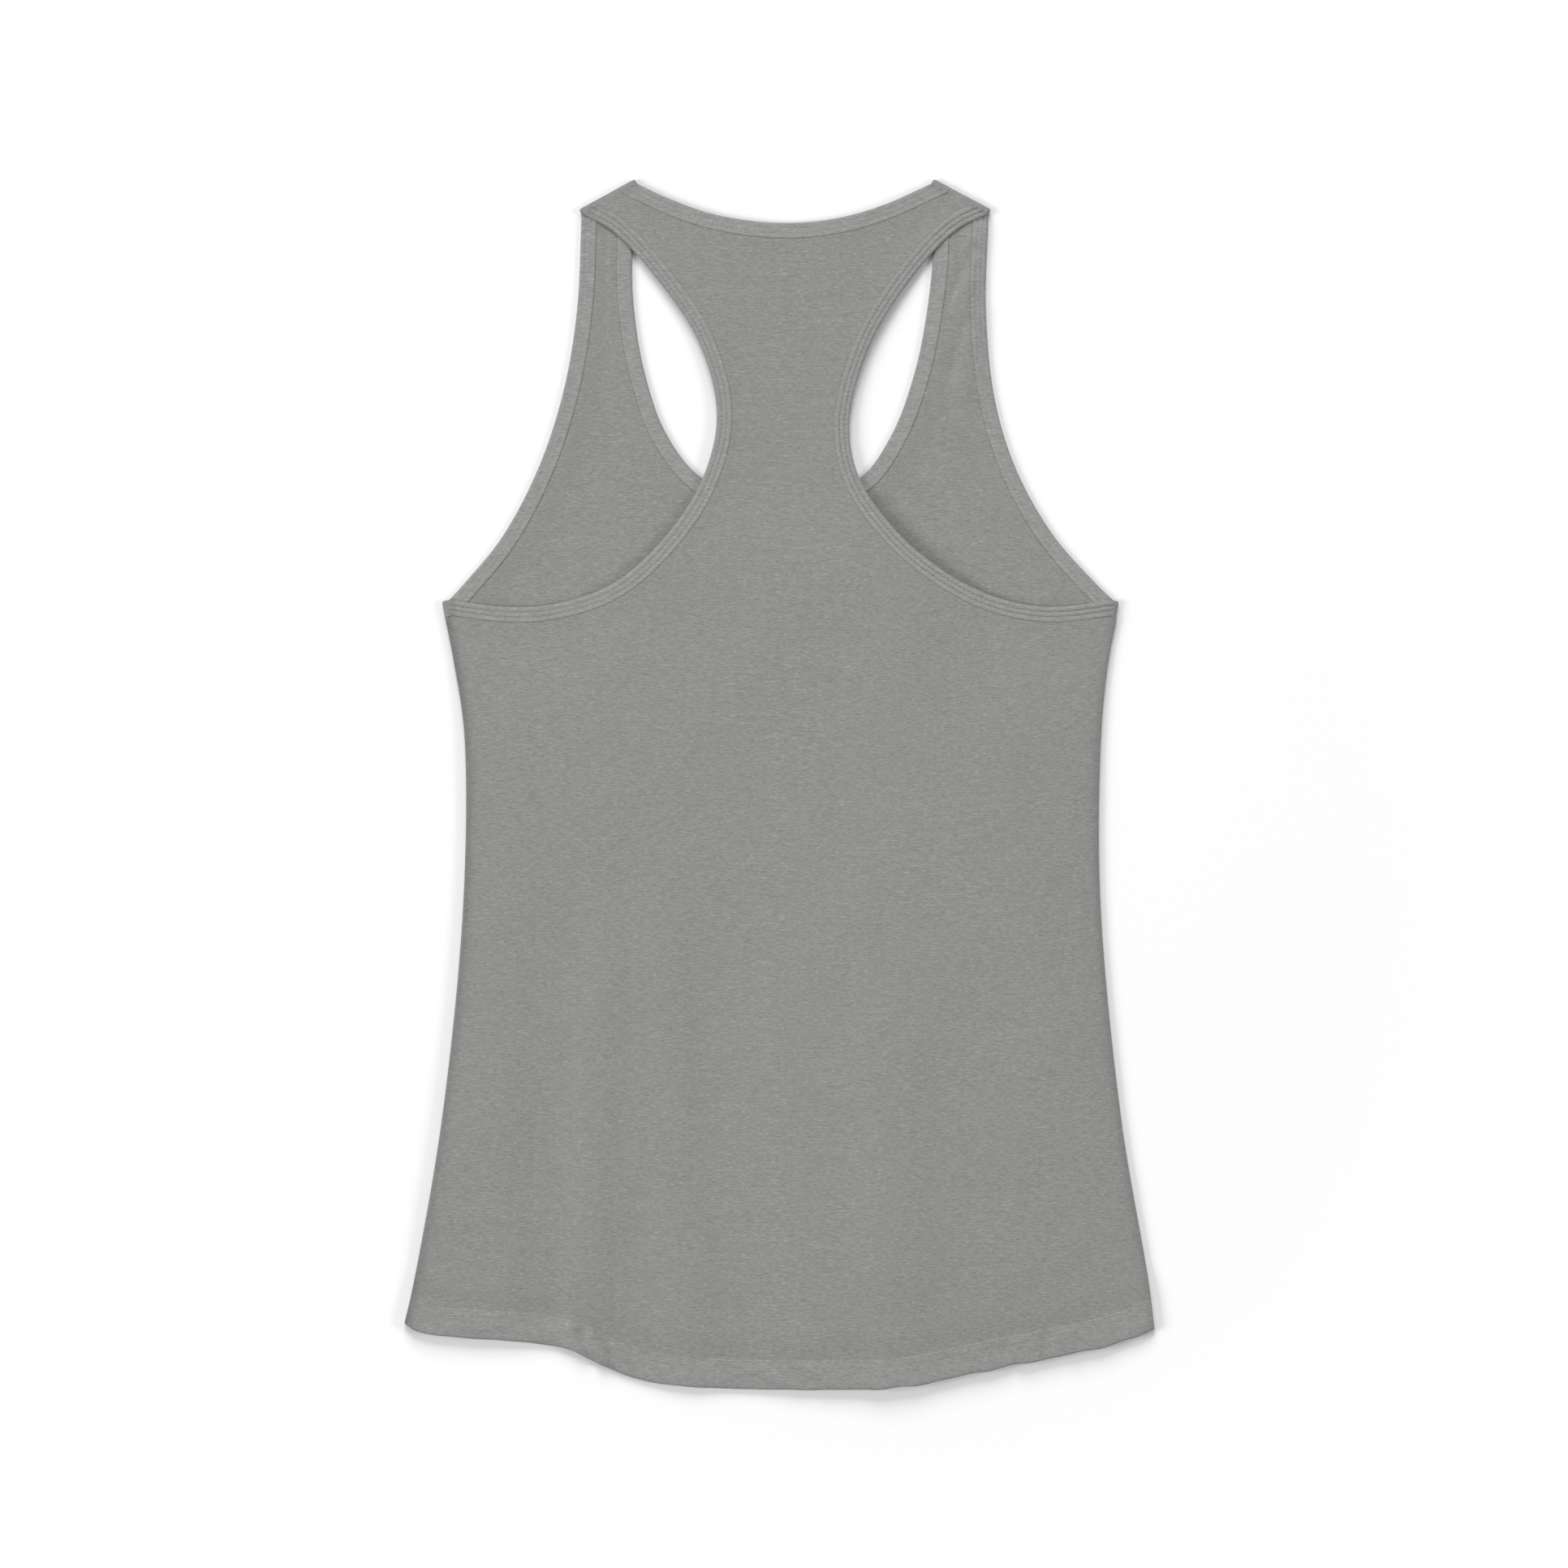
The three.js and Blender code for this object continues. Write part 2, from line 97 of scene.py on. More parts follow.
# Where a crosswise row of the back meets the middle line: the first column counts from the
# hem (0) to the underarm (1) and on to the shoulder (2), the second is y.
ROW_MIDDLE = ((0, -339.5), (0.1, -299.7), (1, 22), (1.3, 68), (1.6, 182), (2, 309))

# Soft flanks of the folds that run up from the hem of the back: x where they start, how far
# the flank drifts to the right over its run, half width, rise to the right.
FLANK_START = -265
FLANK_RUN = 160
BODY_FLANKS = (
    (-142, 0, 13, -2.6), (-118.5, 9, 6, 1.9), (-96, 5, 7, -1.7), (-67.5, -7, 9, 1.5),
    (-42, -8, 10, -2.0), (-3, -10, 15, 2.6), (49, -8, 8, 1.9), (80, 2, 12, -1.8),
)

# Gentle waves of the back: radians a millimetre along x and along y, and a phase.
WAVES = (
    (0.055, 0.012, 0.3), (-0.041, 0.047, 1.7), (0.083, -0.022, 2.9),
    (0.028, 0.071, 4.1), (0.104, 0.031, 5.3), (-0.067, 0.062, 0.9),
)
WAVE_HEIGHT = 0.28

# Short creases: x and y of one end, x and y of the other, half width, height.
HEM_CREASES = (
    (-117, -306, -109.5, -318, 3.2, 1.2),
    (-111.5, -309, -103.8, -325, 2.7, -1.5),
    (-105, -310.5, -98.3, -324, 2.7, 1.7),
    (-101, -309.5, -94, -321, 2.8, -1.2),
    (-95, -309, -86, -322, 3.4, 0.9),
    (11, -330, 19, -338, 2.4, -0.8),
    (16, -328, 25, -337, 2.5, 0.6),
    (127, -316, 134, -327, 2.4, -0.8),
    (132, -314, 140, -326, 2.6, 0.6),
    (152, -310, 160, -320, 2.5, -0.9),
    (158, -309, 166, -318, 2.8, 0.7),
)
STRAP_CREASES = (
    (113, 312, 97, 268, 5.0, 1.3),
    (109, 300, 91, 262, 3.2, -1.4),
    (108, 282, 99, 246, 4.5, 1.1),
    (104.5, 259, 95.5, 230, 3.4, -1.2),
    (110, 262, 104, 222, 6.0, 0.9),
    (-104, 306, -93, 287, 3.0, 0.7),
    (-98, 309, -88, 292, 2.6, -0.8),
)

# The folded strip: its width, how far in from the bound edge its two stitch rows lie, how
# far the panel runs in under it, how deep its thread sits in it, and the steps round a fold.
BINDING_WIDTH = 8.6
STITCH_ROWS = (2.9, 5.7)
SEAM_OVERLAP = 2.6
THREAD_SUNK = 0.1
FOLD_STEPS = 12

# How far below the raw edge of the turned hem its two stitch rows lie, how far out they run,
# how deep the thread sits in the back's, the share of its pitch that a stitch fills, and the
# thread's thickness.
HEM_STITCH_ROWS = (1.6, 4.8)
HEM_STITCH_REACH = 203
HEM_THREAD_SUNK = 0.07
STITCH_SHARE = 0.86
THREAD_THICKNESS = 0.18

# How high the back and the front rise to meet their bindings, and over what run.
BACK_RISE = (0.3, 5)
FRONT_RISE = (0.95, 9)

# How far cloth is carried out over the folds, the run within which stations slant onto
# them, and the share of the top row that lies on each shoulder.
FOLD_REACH = 2.7
SHOULDER_REACH = 2.9
SLANT_RUN = 26
SHOULDER_SHARE = 0.14

# Heights: the middle of the front's cloth and of a binding's lower half over the table, how
# far the front turns up at a seam, the back's lower face there, its step over the front's
# doubled hem, and how far its standing folds are lifted.
LOWER_MIDDLE = 0.5
BINDING_LOWER_MIDDLE = 1.25
SEAM_TURN = 0.65
SEAM_HEIGHT = 1.6
HEM_STEP = 1.6
FOLD_LIFT = 1.3

# Grid rows up an armhole of the back and of the front, columns across half of the front,
# and rows of the front between its underarm and its scoop.
BACK_ARM_ROWS = 79
FRONT_ARM_ROWS = 74
FRONT_COLUMNS = 70
SCOOP_START_ROWS = 11

# The camera takes in this width at the cloth's level, its middle a little to the right.
VIEW_WIDTH = 879.06
VIEW_MIDDLE = 2.7
CLOTH_LEVEL = 6.0
SENSOR_WIDTH = 36

# Lights, aimed at the middle of the table: name, place and side in metres, and the share of
# the table's light that each gives. The sky gives the rest.
LIGHTS = (
    ("softbox", (-1.1, 13.4, 8.7), 8.7, 0.40),
    ("window", (-6.7, -0.8, 4.0), 3.2, 0.30),
    ("fill", (6.7, -0.4, 3.9), 2.0, 0.14),
)
SKY_STRENGTH = 0.30
TABLE_REACH = 4.0

# Finishes, and the knit's columns of loops and its courses, in metres.
CLOTH_ROUGHNESS = 0.92
THREAD_ROUGHNESS = 0.75
TABLE_ROUGHNESS = 0.95
LOOP_SPACING = 0.0008
COURSE_SPACING = 0.0006
LOOP_HEIGHT = 0.000012


class TankTopSizes(bpy.types.PropertyGroup):
    """Sizes of the cloth and the way it lies."""

    cloth: FloatProperty(name="Cloth", description="Thickness of the jersey", default=0.0009, unit="LENGTH")
    left_loft: FloatProperty(
        name="Left loft", description="How far the back stands off the front at the left", default=0.0026,
        unit="LENGTH",
    )
    right_loft: FloatProperty(
        name="Right loft", description="How far the back stands off the front at the right", default=0.0046,
        unit="LENGTH",
    )
    left_roll: FloatProperty(
        name="Left roll", description="Run over which the left side turns down", default=0.0045,
        unit="LENGTH",
    )
    right_roll: FloatProperty(
        name="Right roll", description="Run over which the right side turns down", default=0.080,
        unit="LENGTH",
    )
    hem: FloatProperty(name="Hem", description="Depth of the turned-up hem", default=0.016, unit="LENGTH")
    binding: FloatProperty(
        name="Binding", description="Thickness of the folded binding", default=0.0021, unit="LENGTH"
    )
    stitch: FloatProperty(name="Stitch", description="Length of one stitch", default=0.0026, unit="LENGTH")
    columns: IntProperty(name="Columns", description="Grid steps across the back", default=210, min=20)
    camera_height: FloatProperty(
        name="Camera height", description="Height of the camera over the table", default=4.0, unit="LENGTH"
    )


class TankTopColours(bpy.types.PropertyGroup):
    """Colours of the cloth, thread and table."""

    jersey: FloatVectorProperty(
        name="Jersey", description="Grey of the heather", default=(0.253, 0.253, 0.246), subtype="COLOR"
    )
    binding: FloatVectorProperty(
        name="Binding", description="Grey of the folded strips", default=(0.283, 0.283, 0.276),
        subtype="COLOR",
    )
    thread: FloatVectorProperty(
        name="Thread", description="Grey of the stitching", default=(0.265, 0.265, 0.258), subtype="COLOR"
    )
    table: FloatVectorProperty(
        name="Table", description="Colour of the table", default=(0.92, 0.92, 0.92), subtype="COLOR"
    )


# ---------------------------------------------------------------- plain mathematics


def smooth(t):
    """3 t^2 - 2 t^3 with t held between 0 and 1."""
    t = np.clip(t, 0, 1)
    return t * t * (3 - 2 * t)


def unit(vectors):
    """Each vector divided by its length."""
    return vectors / np.linalg.norm(vectors, axis=-1, keepdims=True)


def smooth_path(places, shares):
    """Centripetal Catmull-Rom curve through the places, at shares of its arc length.

    Knots grow by the square root of each chord, and a point is the pyramid of linear blends
    of the four places about it. The end places are carried on in a straight line.
    """
    p = np.asarray(places, float)
    p = np.vstack([2 * p[0] - p[1], p, 2 * p[-1] - p[-2]])
    knot = np.concatenate([[0], np.cumsum(np.linalg.norm(np.diff(p, axis=0), axis=1) ** 0.5)])
    span = np.arange(1, len(p) - 2)
    t = (knot[span] + np.linspace(0, 1, 80, endpoint=False)[:, None] * (knot[span + 1] - knot[span])).T

    def blend(a, b, i, j):
        share = (t - knot[span + i][:, None]) / (knot[span + j] - knot[span + i])[:, None]
        return a + (b - a) * share[..., None]

    corner = [p[span + i][:, None, :] for i in (-1, 0, 1, 2)]
    first = [blend(corner[i + 1], corner[i + 2], i, i + 1) for i in (-1, 0, 1)]
    second = [blend(first[0], first[1], -1, 1), blend(first[1], first[2], 0, 2)]
    curve = blend(second[0], second[1], 0, 1).reshape(-1, 2)
    curve = np.vstack([curve, p[-2]])
    return at_shares(curve, shares)


def at_shares(points, shares):
    """Places at shares of the arc length of a polyline."""
    run = np.concatenate([[0], np.cumsum(np.linalg.norm(np.diff(points, axis=0), axis=1))])
    return np.stack([np.interp(np.asarray(shares) * run[-1], run, c) for c in points.T], axis=-1)


def path_length(points):
    """Sum of the chords."""
    return float(np.linalg.norm(np.diff(points, axis=0), axis=1).sum())


def distance_to(line, xy):
    """Least distance from each place to a polyline: the place is dropped square onto each
    segment, held to its ends, and the nearest is kept."""
    shape = xy.shape[:-1]
    flat = xy.reshape(-1, 2)
    best = np.full(len(flat), np.inf)
    for a, b in zip(line[:-1], line[1:]):
        run = b - a
        share = np.clip(((flat - a) @ run) / (run @ run), 0, 1)
        best = np.minimum(best, np.linalg.norm(flat - a - share[:, None] * run, axis=1))
    return best.reshape(shape)


EVEN = np.linspace(0, 1, 49)
SIDE_LINES = [smooth_path(SIDE_LEFT, EVEN), smooth_path(SIDE_RIGHT, EVEN)]
HEM_LINE = smooth_path(HEM, np.linspace(0, 1, 161))

# What to add to a place here, so that the hem's corner meets that of the frame's front.
FRONT_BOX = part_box("front_panel")
SHIFT = np.array([
    FRONT_BOX[0].x / MM - HEM_LINE[:, 0].min(),
    FRONT_BOX[0].y / MM - HEM_LINE[:, 1].min(),
    0.0,
])


def hem_height(x):
    """y of the hem's lower edge at x, which wavers more towards the right."""
    waver = 0.3 * np.sin(x / 3.3) + 0.3 * np.sin(x / 5.1 + 1)
    return np.interp(x, HEM_LINE[:, 0], HEM_LINE[:, 1]) + waver * (0.25 + 0.75 * smooth(x / 80))


def fold_at(into, side, bulge):
    """The line that cloth folds about at a corner: the way into the cloth, the way outwards,
    and how far the binding bulges out beyond a plain half turn."""
    into = unit(np.asarray(into, float))
    return {"into": into, "out": side * np.array([-into[1], into[0]]), "bulge": bulge}


SHOULDER_LEFT = np.subtract(NECK_BACK[0], BACK_ARMHOLE_LEFT[0])
SHOULDER_RIGHT = np.subtract(NECK_BACK[-1], BACK_ARMHOLE_RIGHT[0])
FOLDS = {
    "left shoulder, arm": fold_at(SHOULDER_LEFT, 1, 1.6),
    "left shoulder, neck": fold_at(-SHOULDER_LEFT, -1, 1.6),
    "right shoulder, arm": fold_at(SHOULDER_RIGHT, -1, 1.6),
    "right shoulder, neck": fold_at(-SHOULDER_RIGHT, 1, 1.6),
    "left underarm": fold_at((5.3, -27), -1, 2.3),
    "right underarm": fold_at((-5.1, -27), 1, 1.4),
}
OUT_LEFT = FOLDS["left shoulder, arm"]["out"]
OUT_RIGHT = FOLDS["right shoulder, arm"]["out"]
SHOULDER_LINES = [
    np.array([BACK_ARMHOLE_LEFT[0], NECK_BACK[0]]) + OUT_LEFT * SHOULDER_REACH,
    np.array([BACK_ARMHOLE_RIGHT[0], NECK_BACK[-1]]) + OUT_RIGHT * SHOULDER_REACH,
]


# ---------------------------------------------------------------- how the cloth lies


def crease_height(xy, creases):
    """Sum over creases of height exp(-(d / half width)^2), d being the distance to the crease."""
    total = np.zeros(xy.shape[:-1])
    for x0, y0, x1, y1, half_width, height in creases:
        d = distance_to(np.array([[x0, y0], [x1, y1]], float), xy)
        total += height * np.exp(-((d / half_width) ** 2))
    return total


def gentle_waves(xy):
    """A third of the sum of the waves' cosines, which are 58 to 112 mm long."""
    x, y = xy[..., 0], xy[..., 1]
    return sum(np.cos(a * x + b * y + c) for a, b, c in WAVES) / 3


def roll(distance, run):
    """Quarter ellipse: sqrt(1 - (1 - d / run)^2), 1 beyond the run."""
    return np.sqrt(np.clip(1 - (1 - np.clip(distance / run, 0, 1)) ** 2, 0, 1))


def side_rise(xy, sizes):
    """0 on a folded edge and 1 well inside it: the least of the rolls at the two sides and the
    shoulders, where it also grows from 0.35 to 1 over 75 mm."""
    left = roll(distance_to(SIDE_LINES[0], xy), sizes.left_roll / MM)
    right = roll(distance_to(SIDE_LINES[1], xy), sizes.right_roll / MM)
    away = [distance_to(line, xy) for line in SHOULDER_LINES]
    tops = [roll(d, 9) * (0.35 + 0.65 * smooth(d / 75)) for d in away]
    return np.minimum.reduce([left, right, *tops])


def body_folds(x, y):
    """Sum over flanks of rise / 2 (1 + tanh((x - place) / half width)), the place drifting
    with y, lifted so that the lowest hollow clears the front."""
    up = (y - FLANK_START) / FLANK_RUN
    return FOLD_LIFT + sum(
        rise / 2 * (1 + np.tanh((x - place - drift * up) / half)) for place, drift, half, rise in BODY_FLANKS
    )


def upper_middle(xy, sizes):
    """Height of the middle of the back's cloth.

    Seam height, plus the side rise times a loft that grows from left to right and settles
    towards the underarms, the hem and the narrow back, plus a step over the doubled hem of
    the front, plus the standing folds, which fade out towards the chest, gentle waves and the
    creases of the hem.
    """
    x, y = xy[..., 0], xy[..., 1]
    rise = side_rise(xy, sizes)
    loft = (sizes.left_loft + (sizes.right_loft - sizes.left_loft) * smooth((x + 90) / 190)) / MM
    underarm = smooth((np.abs(x) - 62) / 70) * smooth((y - 20) / 70)
    over_hem = 1 - smooth((y - hem_height(x) - sizes.hem / MM) / 25)
    folds = body_folds(x, y) * smooth((60 - y) / 260)
    narrow = smooth((y - 110) / 90)
    above_hem = smooth((y - hem_height(x)) / 75)
    settled = loft * (1 - 0.72 * underarm) * (1 - 0.58 * narrow) * (0.45 + 0.55 * above_hem)
    standing = settled + folds + WAVE_HEIGHT * gentle_waves(xy) + crease_height(xy, HEM_CREASES)
    resting = SEAM_HEIGHT + sizes.cloth / MM / 2
    return resting + HEM_STEP * over_hem * (1 - 0.6 * rise) + standing * rise


def lower_middle(xy, sizes):
    """Height of the middle of the front's cloth: it lies on the table, turns up to the seam
    at the sides and shoulders, and stands in short creases and a swell on the straps. It
    takes the sizes only so that it can be called as upper_middle is."""
    to_sides = np.minimum(distance_to(SIDE_LINES[0], xy), distance_to(SIDE_LINES[1], xy))
    to_tops = np.minimum(distance_to(SHOULDER_LINES[0], xy), distance_to(SHOULDER_LINES[1], xy))
    turn = 1 - roll(np.minimum(to_sides, to_tops), 2.5)
    x, y = xy[..., 0], xy[..., 1]
    swell = 0.7 * np.exp(-(((x - 104) / 9) ** 2)) * smooth((y - 190) / 40) * smooth((325 - y) / 20)
    strap = crease_height(xy, STRAP_CREASES) + swell
    calm = smooth((to_tops - 4) / 20)
    return LOWER_MIDDLE + SEAM_TURN * turn + np.maximum(strap, 0) * calm


def lower_binding_middle(xy, sizes):
    """Height of the middle of a binding's lower half, which follows the front."""
    return BINDING_LOWER_MIDDLE + lower_middle(xy, sizes) - LOWER_MIDDLE


# ---------------------------------------------------------------- strips along the edges


def strip(places, steps, side, start, end):
    """A bound edge as stations: place, and the way across to the cloth.

    The way across is square to the edge, plus a slant along it that brings the first and
    last station onto the lines they fold about and fades within a short run.
    """
    shares = np.linspace(0, 1, steps + 1)
    at = smooth_path(places, shares)
    length = path_length(at)
    along = unit(np.gradient(at, axis=0))
    cloth = side * np.stack([along[:, 1], -along[:, 0]], axis=1)

    def slant(name):
        into = FOLDS[name]["into"]
        return (along @ into) / np.maximum(cloth @ into, 0.3)

    near_start = smooth(1 - shares * length / SLANT_RUN)
    near_end = smooth(1 - (1 - shares) * length / SLANT_RUN)
    amount = near_start * slant(start) + near_end * slant(end)
    return {"at": at, "across": cloth + along * amount[:, None]}


def edge_strips(step):
    """The six bound edges, with stations about one step apart."""

    def steps(places):
        return int(round(path_length(smooth_path(places, EVEN)) / step))

    arm_l, arm_r = "left shoulder, arm", "right shoulder, arm"
    neck_l, neck_r = "left shoulder, neck", "right shoulder, neck"
    under_l, under_r = "left underarm", "right underarm"
    return {
        "front left": strip(FRONT_ARMHOLE_LEFT, steps(FRONT_ARMHOLE_LEFT), 1, under_l, arm_l),
        "back left": strip(BACK_ARMHOLE_LEFT, steps(BACK_ARMHOLE_LEFT), -1, arm_l, under_l),
        "front right": strip(FRONT_ARMHOLE_RIGHT[::-1], steps(FRONT_ARMHOLE_RIGHT), 1, arm_r, under_r),
        "back right": strip(BACK_ARMHOLE_RIGHT[::-1], steps(BACK_ARMHOLE_RIGHT), -1, under_r, arm_r),
        "front neck": strip(NECK_SCOOP, steps(NECK_SCOOP), 1, neck_l, neck_r),
        "back neck": strip(NECK_BACK[::-1], steps(NECK_BACK), -1, neck_r, neck_l),
    }


def seam_line(stations, offset, start_reach=None, end_reach=None):
    """The stations moved across by an offset, with the ends carried out over a fold."""
    points = stations["at"] + stations["across"] * offset
    if start_reach is not None:
        points = np.vstack([points[0] + start_reach * FOLD_REACH, points])
    if end_reach is not None:
        points = np.vstack([points, points[-1] + end_reach * FOLD_REACH])
    return points


# ---------------------------------------------------------------- panels


def row_shares(length, depth):
    """Shares of a side seam's length at which rows lie: close together in the hem and
    round its folded edge, then widening to about 4 mm."""
    near = np.concatenate([[0, 0.06, 0.22, 0.55], np.arange(1.1, depth + 3, 0.85)])
    rest = depth + 3 + np.cumsum(np.minimum(0.95 * 1.12 ** np.arange(400), 4.2))
    rest = rest[rest < length - 2]
    return np.concatenate([near, rest, [length]]) / length


def rows_in_hem(shares, length, depth):
    """How many rows at shares of a side seam's length lie below the hem's raw edge."""
    return int(np.searchsorted(shares * length, depth))


def column_shares(count):
    """c - 0.7 sin(2 pi c) / (2 pi): columns crowd towards both edges."""
    c = np.linspace(0, 1, count + 1)
    return c - 0.7 * np.sin(2 * np.pi * c) / (2 * np.pi)


def back_places(sizes):
    """Flat places of the back as rows by columns, and the number of rows in the hem.

    A row runs between the left and right boundary, and sags by dip (1 - |2u - 1|^2.2) so
    that it meets the middle line at its own height. Two corrections, fading up from the hem
    and down from the neck, carry the first row onto the hem and the last onto the shoulders
    and neck seam, and four short rows reach over the shoulder folds.
    """
    strips = edge_strips(2.0)
    offset = BINDING_WIDTH - SEAM_OVERLAP
    seam_left = seam_line(strips["back left"], offset)[::-1]
    seam_right = seam_line(strips["back right"], offset)
    neck = seam_line(strips["back neck"], offset)[::-1]
    depth = sizes.hem / MM
    length = path_length(SIDE_LINES[0])
    side = row_shares(length, depth)
    arm = np.linspace(0, 1, BACK_ARM_ROWS)
    along = np.concatenate([side, 1 + arm[1:]])
    left = np.vstack([smooth_path(SIDE_LEFT, side), at_shares(seam_left, arm)[1:]])
    right = np.vstack([smooth_path(SIDE_RIGHT, side), at_shares(seam_right, arm)[1:]])
    u = column_shares(sizes.columns)[:, None]
    rows = left[:, None, :] * (1 - u) + right[:, None, :] * u
    dip = (left[:, 1] + right[:, 1]) / 2 - np.interp(along, *np.transpose(ROW_MIDDLE))
    rows[..., 1] -= dip[:, None] * (1 - np.abs(2 * u[:, 0] - 1) ** 2.2)
    hem = np.stack([rows[0, :, 0], hem_height(rows[0, :, 0])], axis=1)
    over_left, over_right = u <= SHOULDER_SHARE, u >= 1 - SHOULDER_SHARE
    top = at_shares(neck, np.clip((u[:, 0] - SHOULDER_SHARE) / (1 - 2 * SHOULDER_SHARE), 0, 1))
    top = np.where(over_left, left[-1] + (neck[0] - left[-1]) * (u / SHOULDER_SHARE), top)
    top = np.where(over_right, right[-1] + (neck[-1] - right[-1]) * ((1 - u) / SHOULDER_SHARE), top)
    near_hem = ((1 - np.clip(along, 0, 1)) ** 2)[:, None, None]
    near_neck = (np.clip(2 * along - 3, 0, 1) ** 1.7)[:, None, None]
    rows = rows + near_hem * (hem - rows[:1]) + near_neck * (top - rows[-1:])
    reach = np.where(over_right, OUT_RIGHT * SHOULDER_REACH, (0, 0.8))
    reach = np.where(over_left, OUT_LEFT * SHOULDER_REACH, reach)
    over = top + np.array([0.4, 0.75, 0.93, 1.0])[:, None, None] * reach
    return np.concatenate([rows, over]), rows_in_hem(side, length, depth)


def front_half_places(side_places, arm_seam, neck_half, depth):
    """Flat places of half of the front: rows run straight from the side and armhole seam to
    the middle line below the scoop, then to the neck seam, and are eased onto the hem."""
    length = path_length(smooth_path(side_places, EVEN))
    side = row_shares(length, depth)
    arm = np.linspace(0, 1, FRONT_ARM_ROWS)
    outer = np.vstack([smooth_path(side_places, side), at_shares(arm_seam, arm)[1:]])
    low = np.array([0.0, float(hem_height(0.0))])
    middle_rows = len(side) + SCOOP_START_ROWS
    scoop_rows = len(outer) - middle_rows
    lift = np.concatenate([side, 1 + np.arange(1, SCOOP_START_ROWS + 1) / 60])
    inner = np.vstack([
        low + (neck_half[0] - low) * (lift / lift[-1])[:, None],
        at_shares(neck_half, np.linspace(0, 1, scoop_rows + 1))[1:],
    ])
    u = column_shares(FRONT_COLUMNS)[None, :, None]
    rows = outer[:, None, :] * (1 - u) + inner[:, None, :] * u
    near_hem = np.zeros(len(outer))
    near_hem[: len(side)] = (1 - side) ** 2
    rows[..., 1] += near_hem[:, None] * (hem_height(rows[0, :, 0]) - rows[0, :, 1])
    return rows, middle_rows, rows_in_hem(side, length, depth)


def with_hem(rows, heights, hem_rows, cloth, downwards):
    """Adds the turned-up hem: the first row is the folded edge, the rows beside it follow a
    half circle of radius r, 0.62 of the cloth, and a second layer lies 2 r inside the outer
    one. Returns places from the hem's raw edge round to the panel."""
    radius = cloth * 0.62
    away = np.abs(rows[..., 1] - rows[:1, :, 1])
    bulge = np.sqrt(np.clip(radius**2 - np.clip(radius - away, 0, radius) ** 2, 0, None))
    sign = -1 if downwards else 1
    outer = heights + sign * (radius - bulge)
    inner = heights + sign * (radius + bulge)
    wall = np.dstack([rows[1 : hem_rows + 1], inner[1 : hem_rows + 1, :, None]])[::-1]
    return np.concatenate([wall, np.dstack([rows, outer[..., None]])])


def grid_faces(numbers):
    """Quads of a grid of vertex numbers, each corner row by row."""
    return np.stack(
        [numbers[:-1, :-1], numbers[:-1, 1:], numbers[1:, 1:], numbers[1:, :-1]], axis=-1
    ).reshape(-1, 4)


def new_mesh(name, points, faces):
    """A smooth mesh object at the origin, from points in millimetres."""
    mesh = bpy.data.meshes.new(name)
    mesh.from_pydata((points + SHIFT) * MM, [], faces)
    mesh.polygons.foreach_set("use_smooth", np.ones(len(mesh.polygons), bool))
    mesh.validate()
    mesh.update()
    obj = bpy.data.objects.new(name, mesh)
    bpy.context.scene.collection.objects.link(obj)
    return obj


def cloth_mesh(name, points, faces, attributes):
    """A mesh of quads that keeps only the points they use, each with its named numbers."""
    used, numbers = np.unique(faces, return_inverse=True)
    obj = new_mesh(name, points[used], numbers.reshape(faces.shape))
    for label, values in attributes.items():
        layer = obj.data.attributes.new(label, "FLOAT", "POINT")
        layer.data.foreach_set("value", np.ascontiguousarray(values.reshape(-1)[used], np.float32))
    return obj


def to_bound_edge(xy, edges):
    """Least distance from each place to the bound edges."""
    return np.minimum.reduce([distance_to(line, xy) for line in edges])


def up_to_binding(to_edge, lift, run):
    """lift exp(-((distance beyond the seam) / run)^2): the panel rises to meet its binding."""
    return lift * np.exp(-((np.maximum(to_edge - BINDING_WIDTH, 0) / run) ** 2))


def cloth_attributes(points, edges):
    """Distance of each point to the bound edges, the hem and the sides, in millimetres."""
    xy = points[..., :2]
    return {
        "bound_edge": to_bound_edge(xy, edges),
        "hem_edge": distance_to(HEM_LINE[::2], xy),
        "side_edge": np.minimum(distance_to(SIDE_LINES[0], xy), distance_to(SIDE_LINES[1], xy)),
    }


def back_grid(edges, sizes):
    """Points of the back as rows by columns, and its faces."""
    rows, hem_rows = back_places(sizes)
    heights = upper_middle(rows, sizes) + up_to_binding(to_bound_edge(rows, edges), *BACK_RISE)
    points = with_hem(rows, heights, hem_rows, sizes.cloth / MM, True)
    return points, grid_faces(np.arange(points[..., 0].size).reshape(points.shape[:2]))


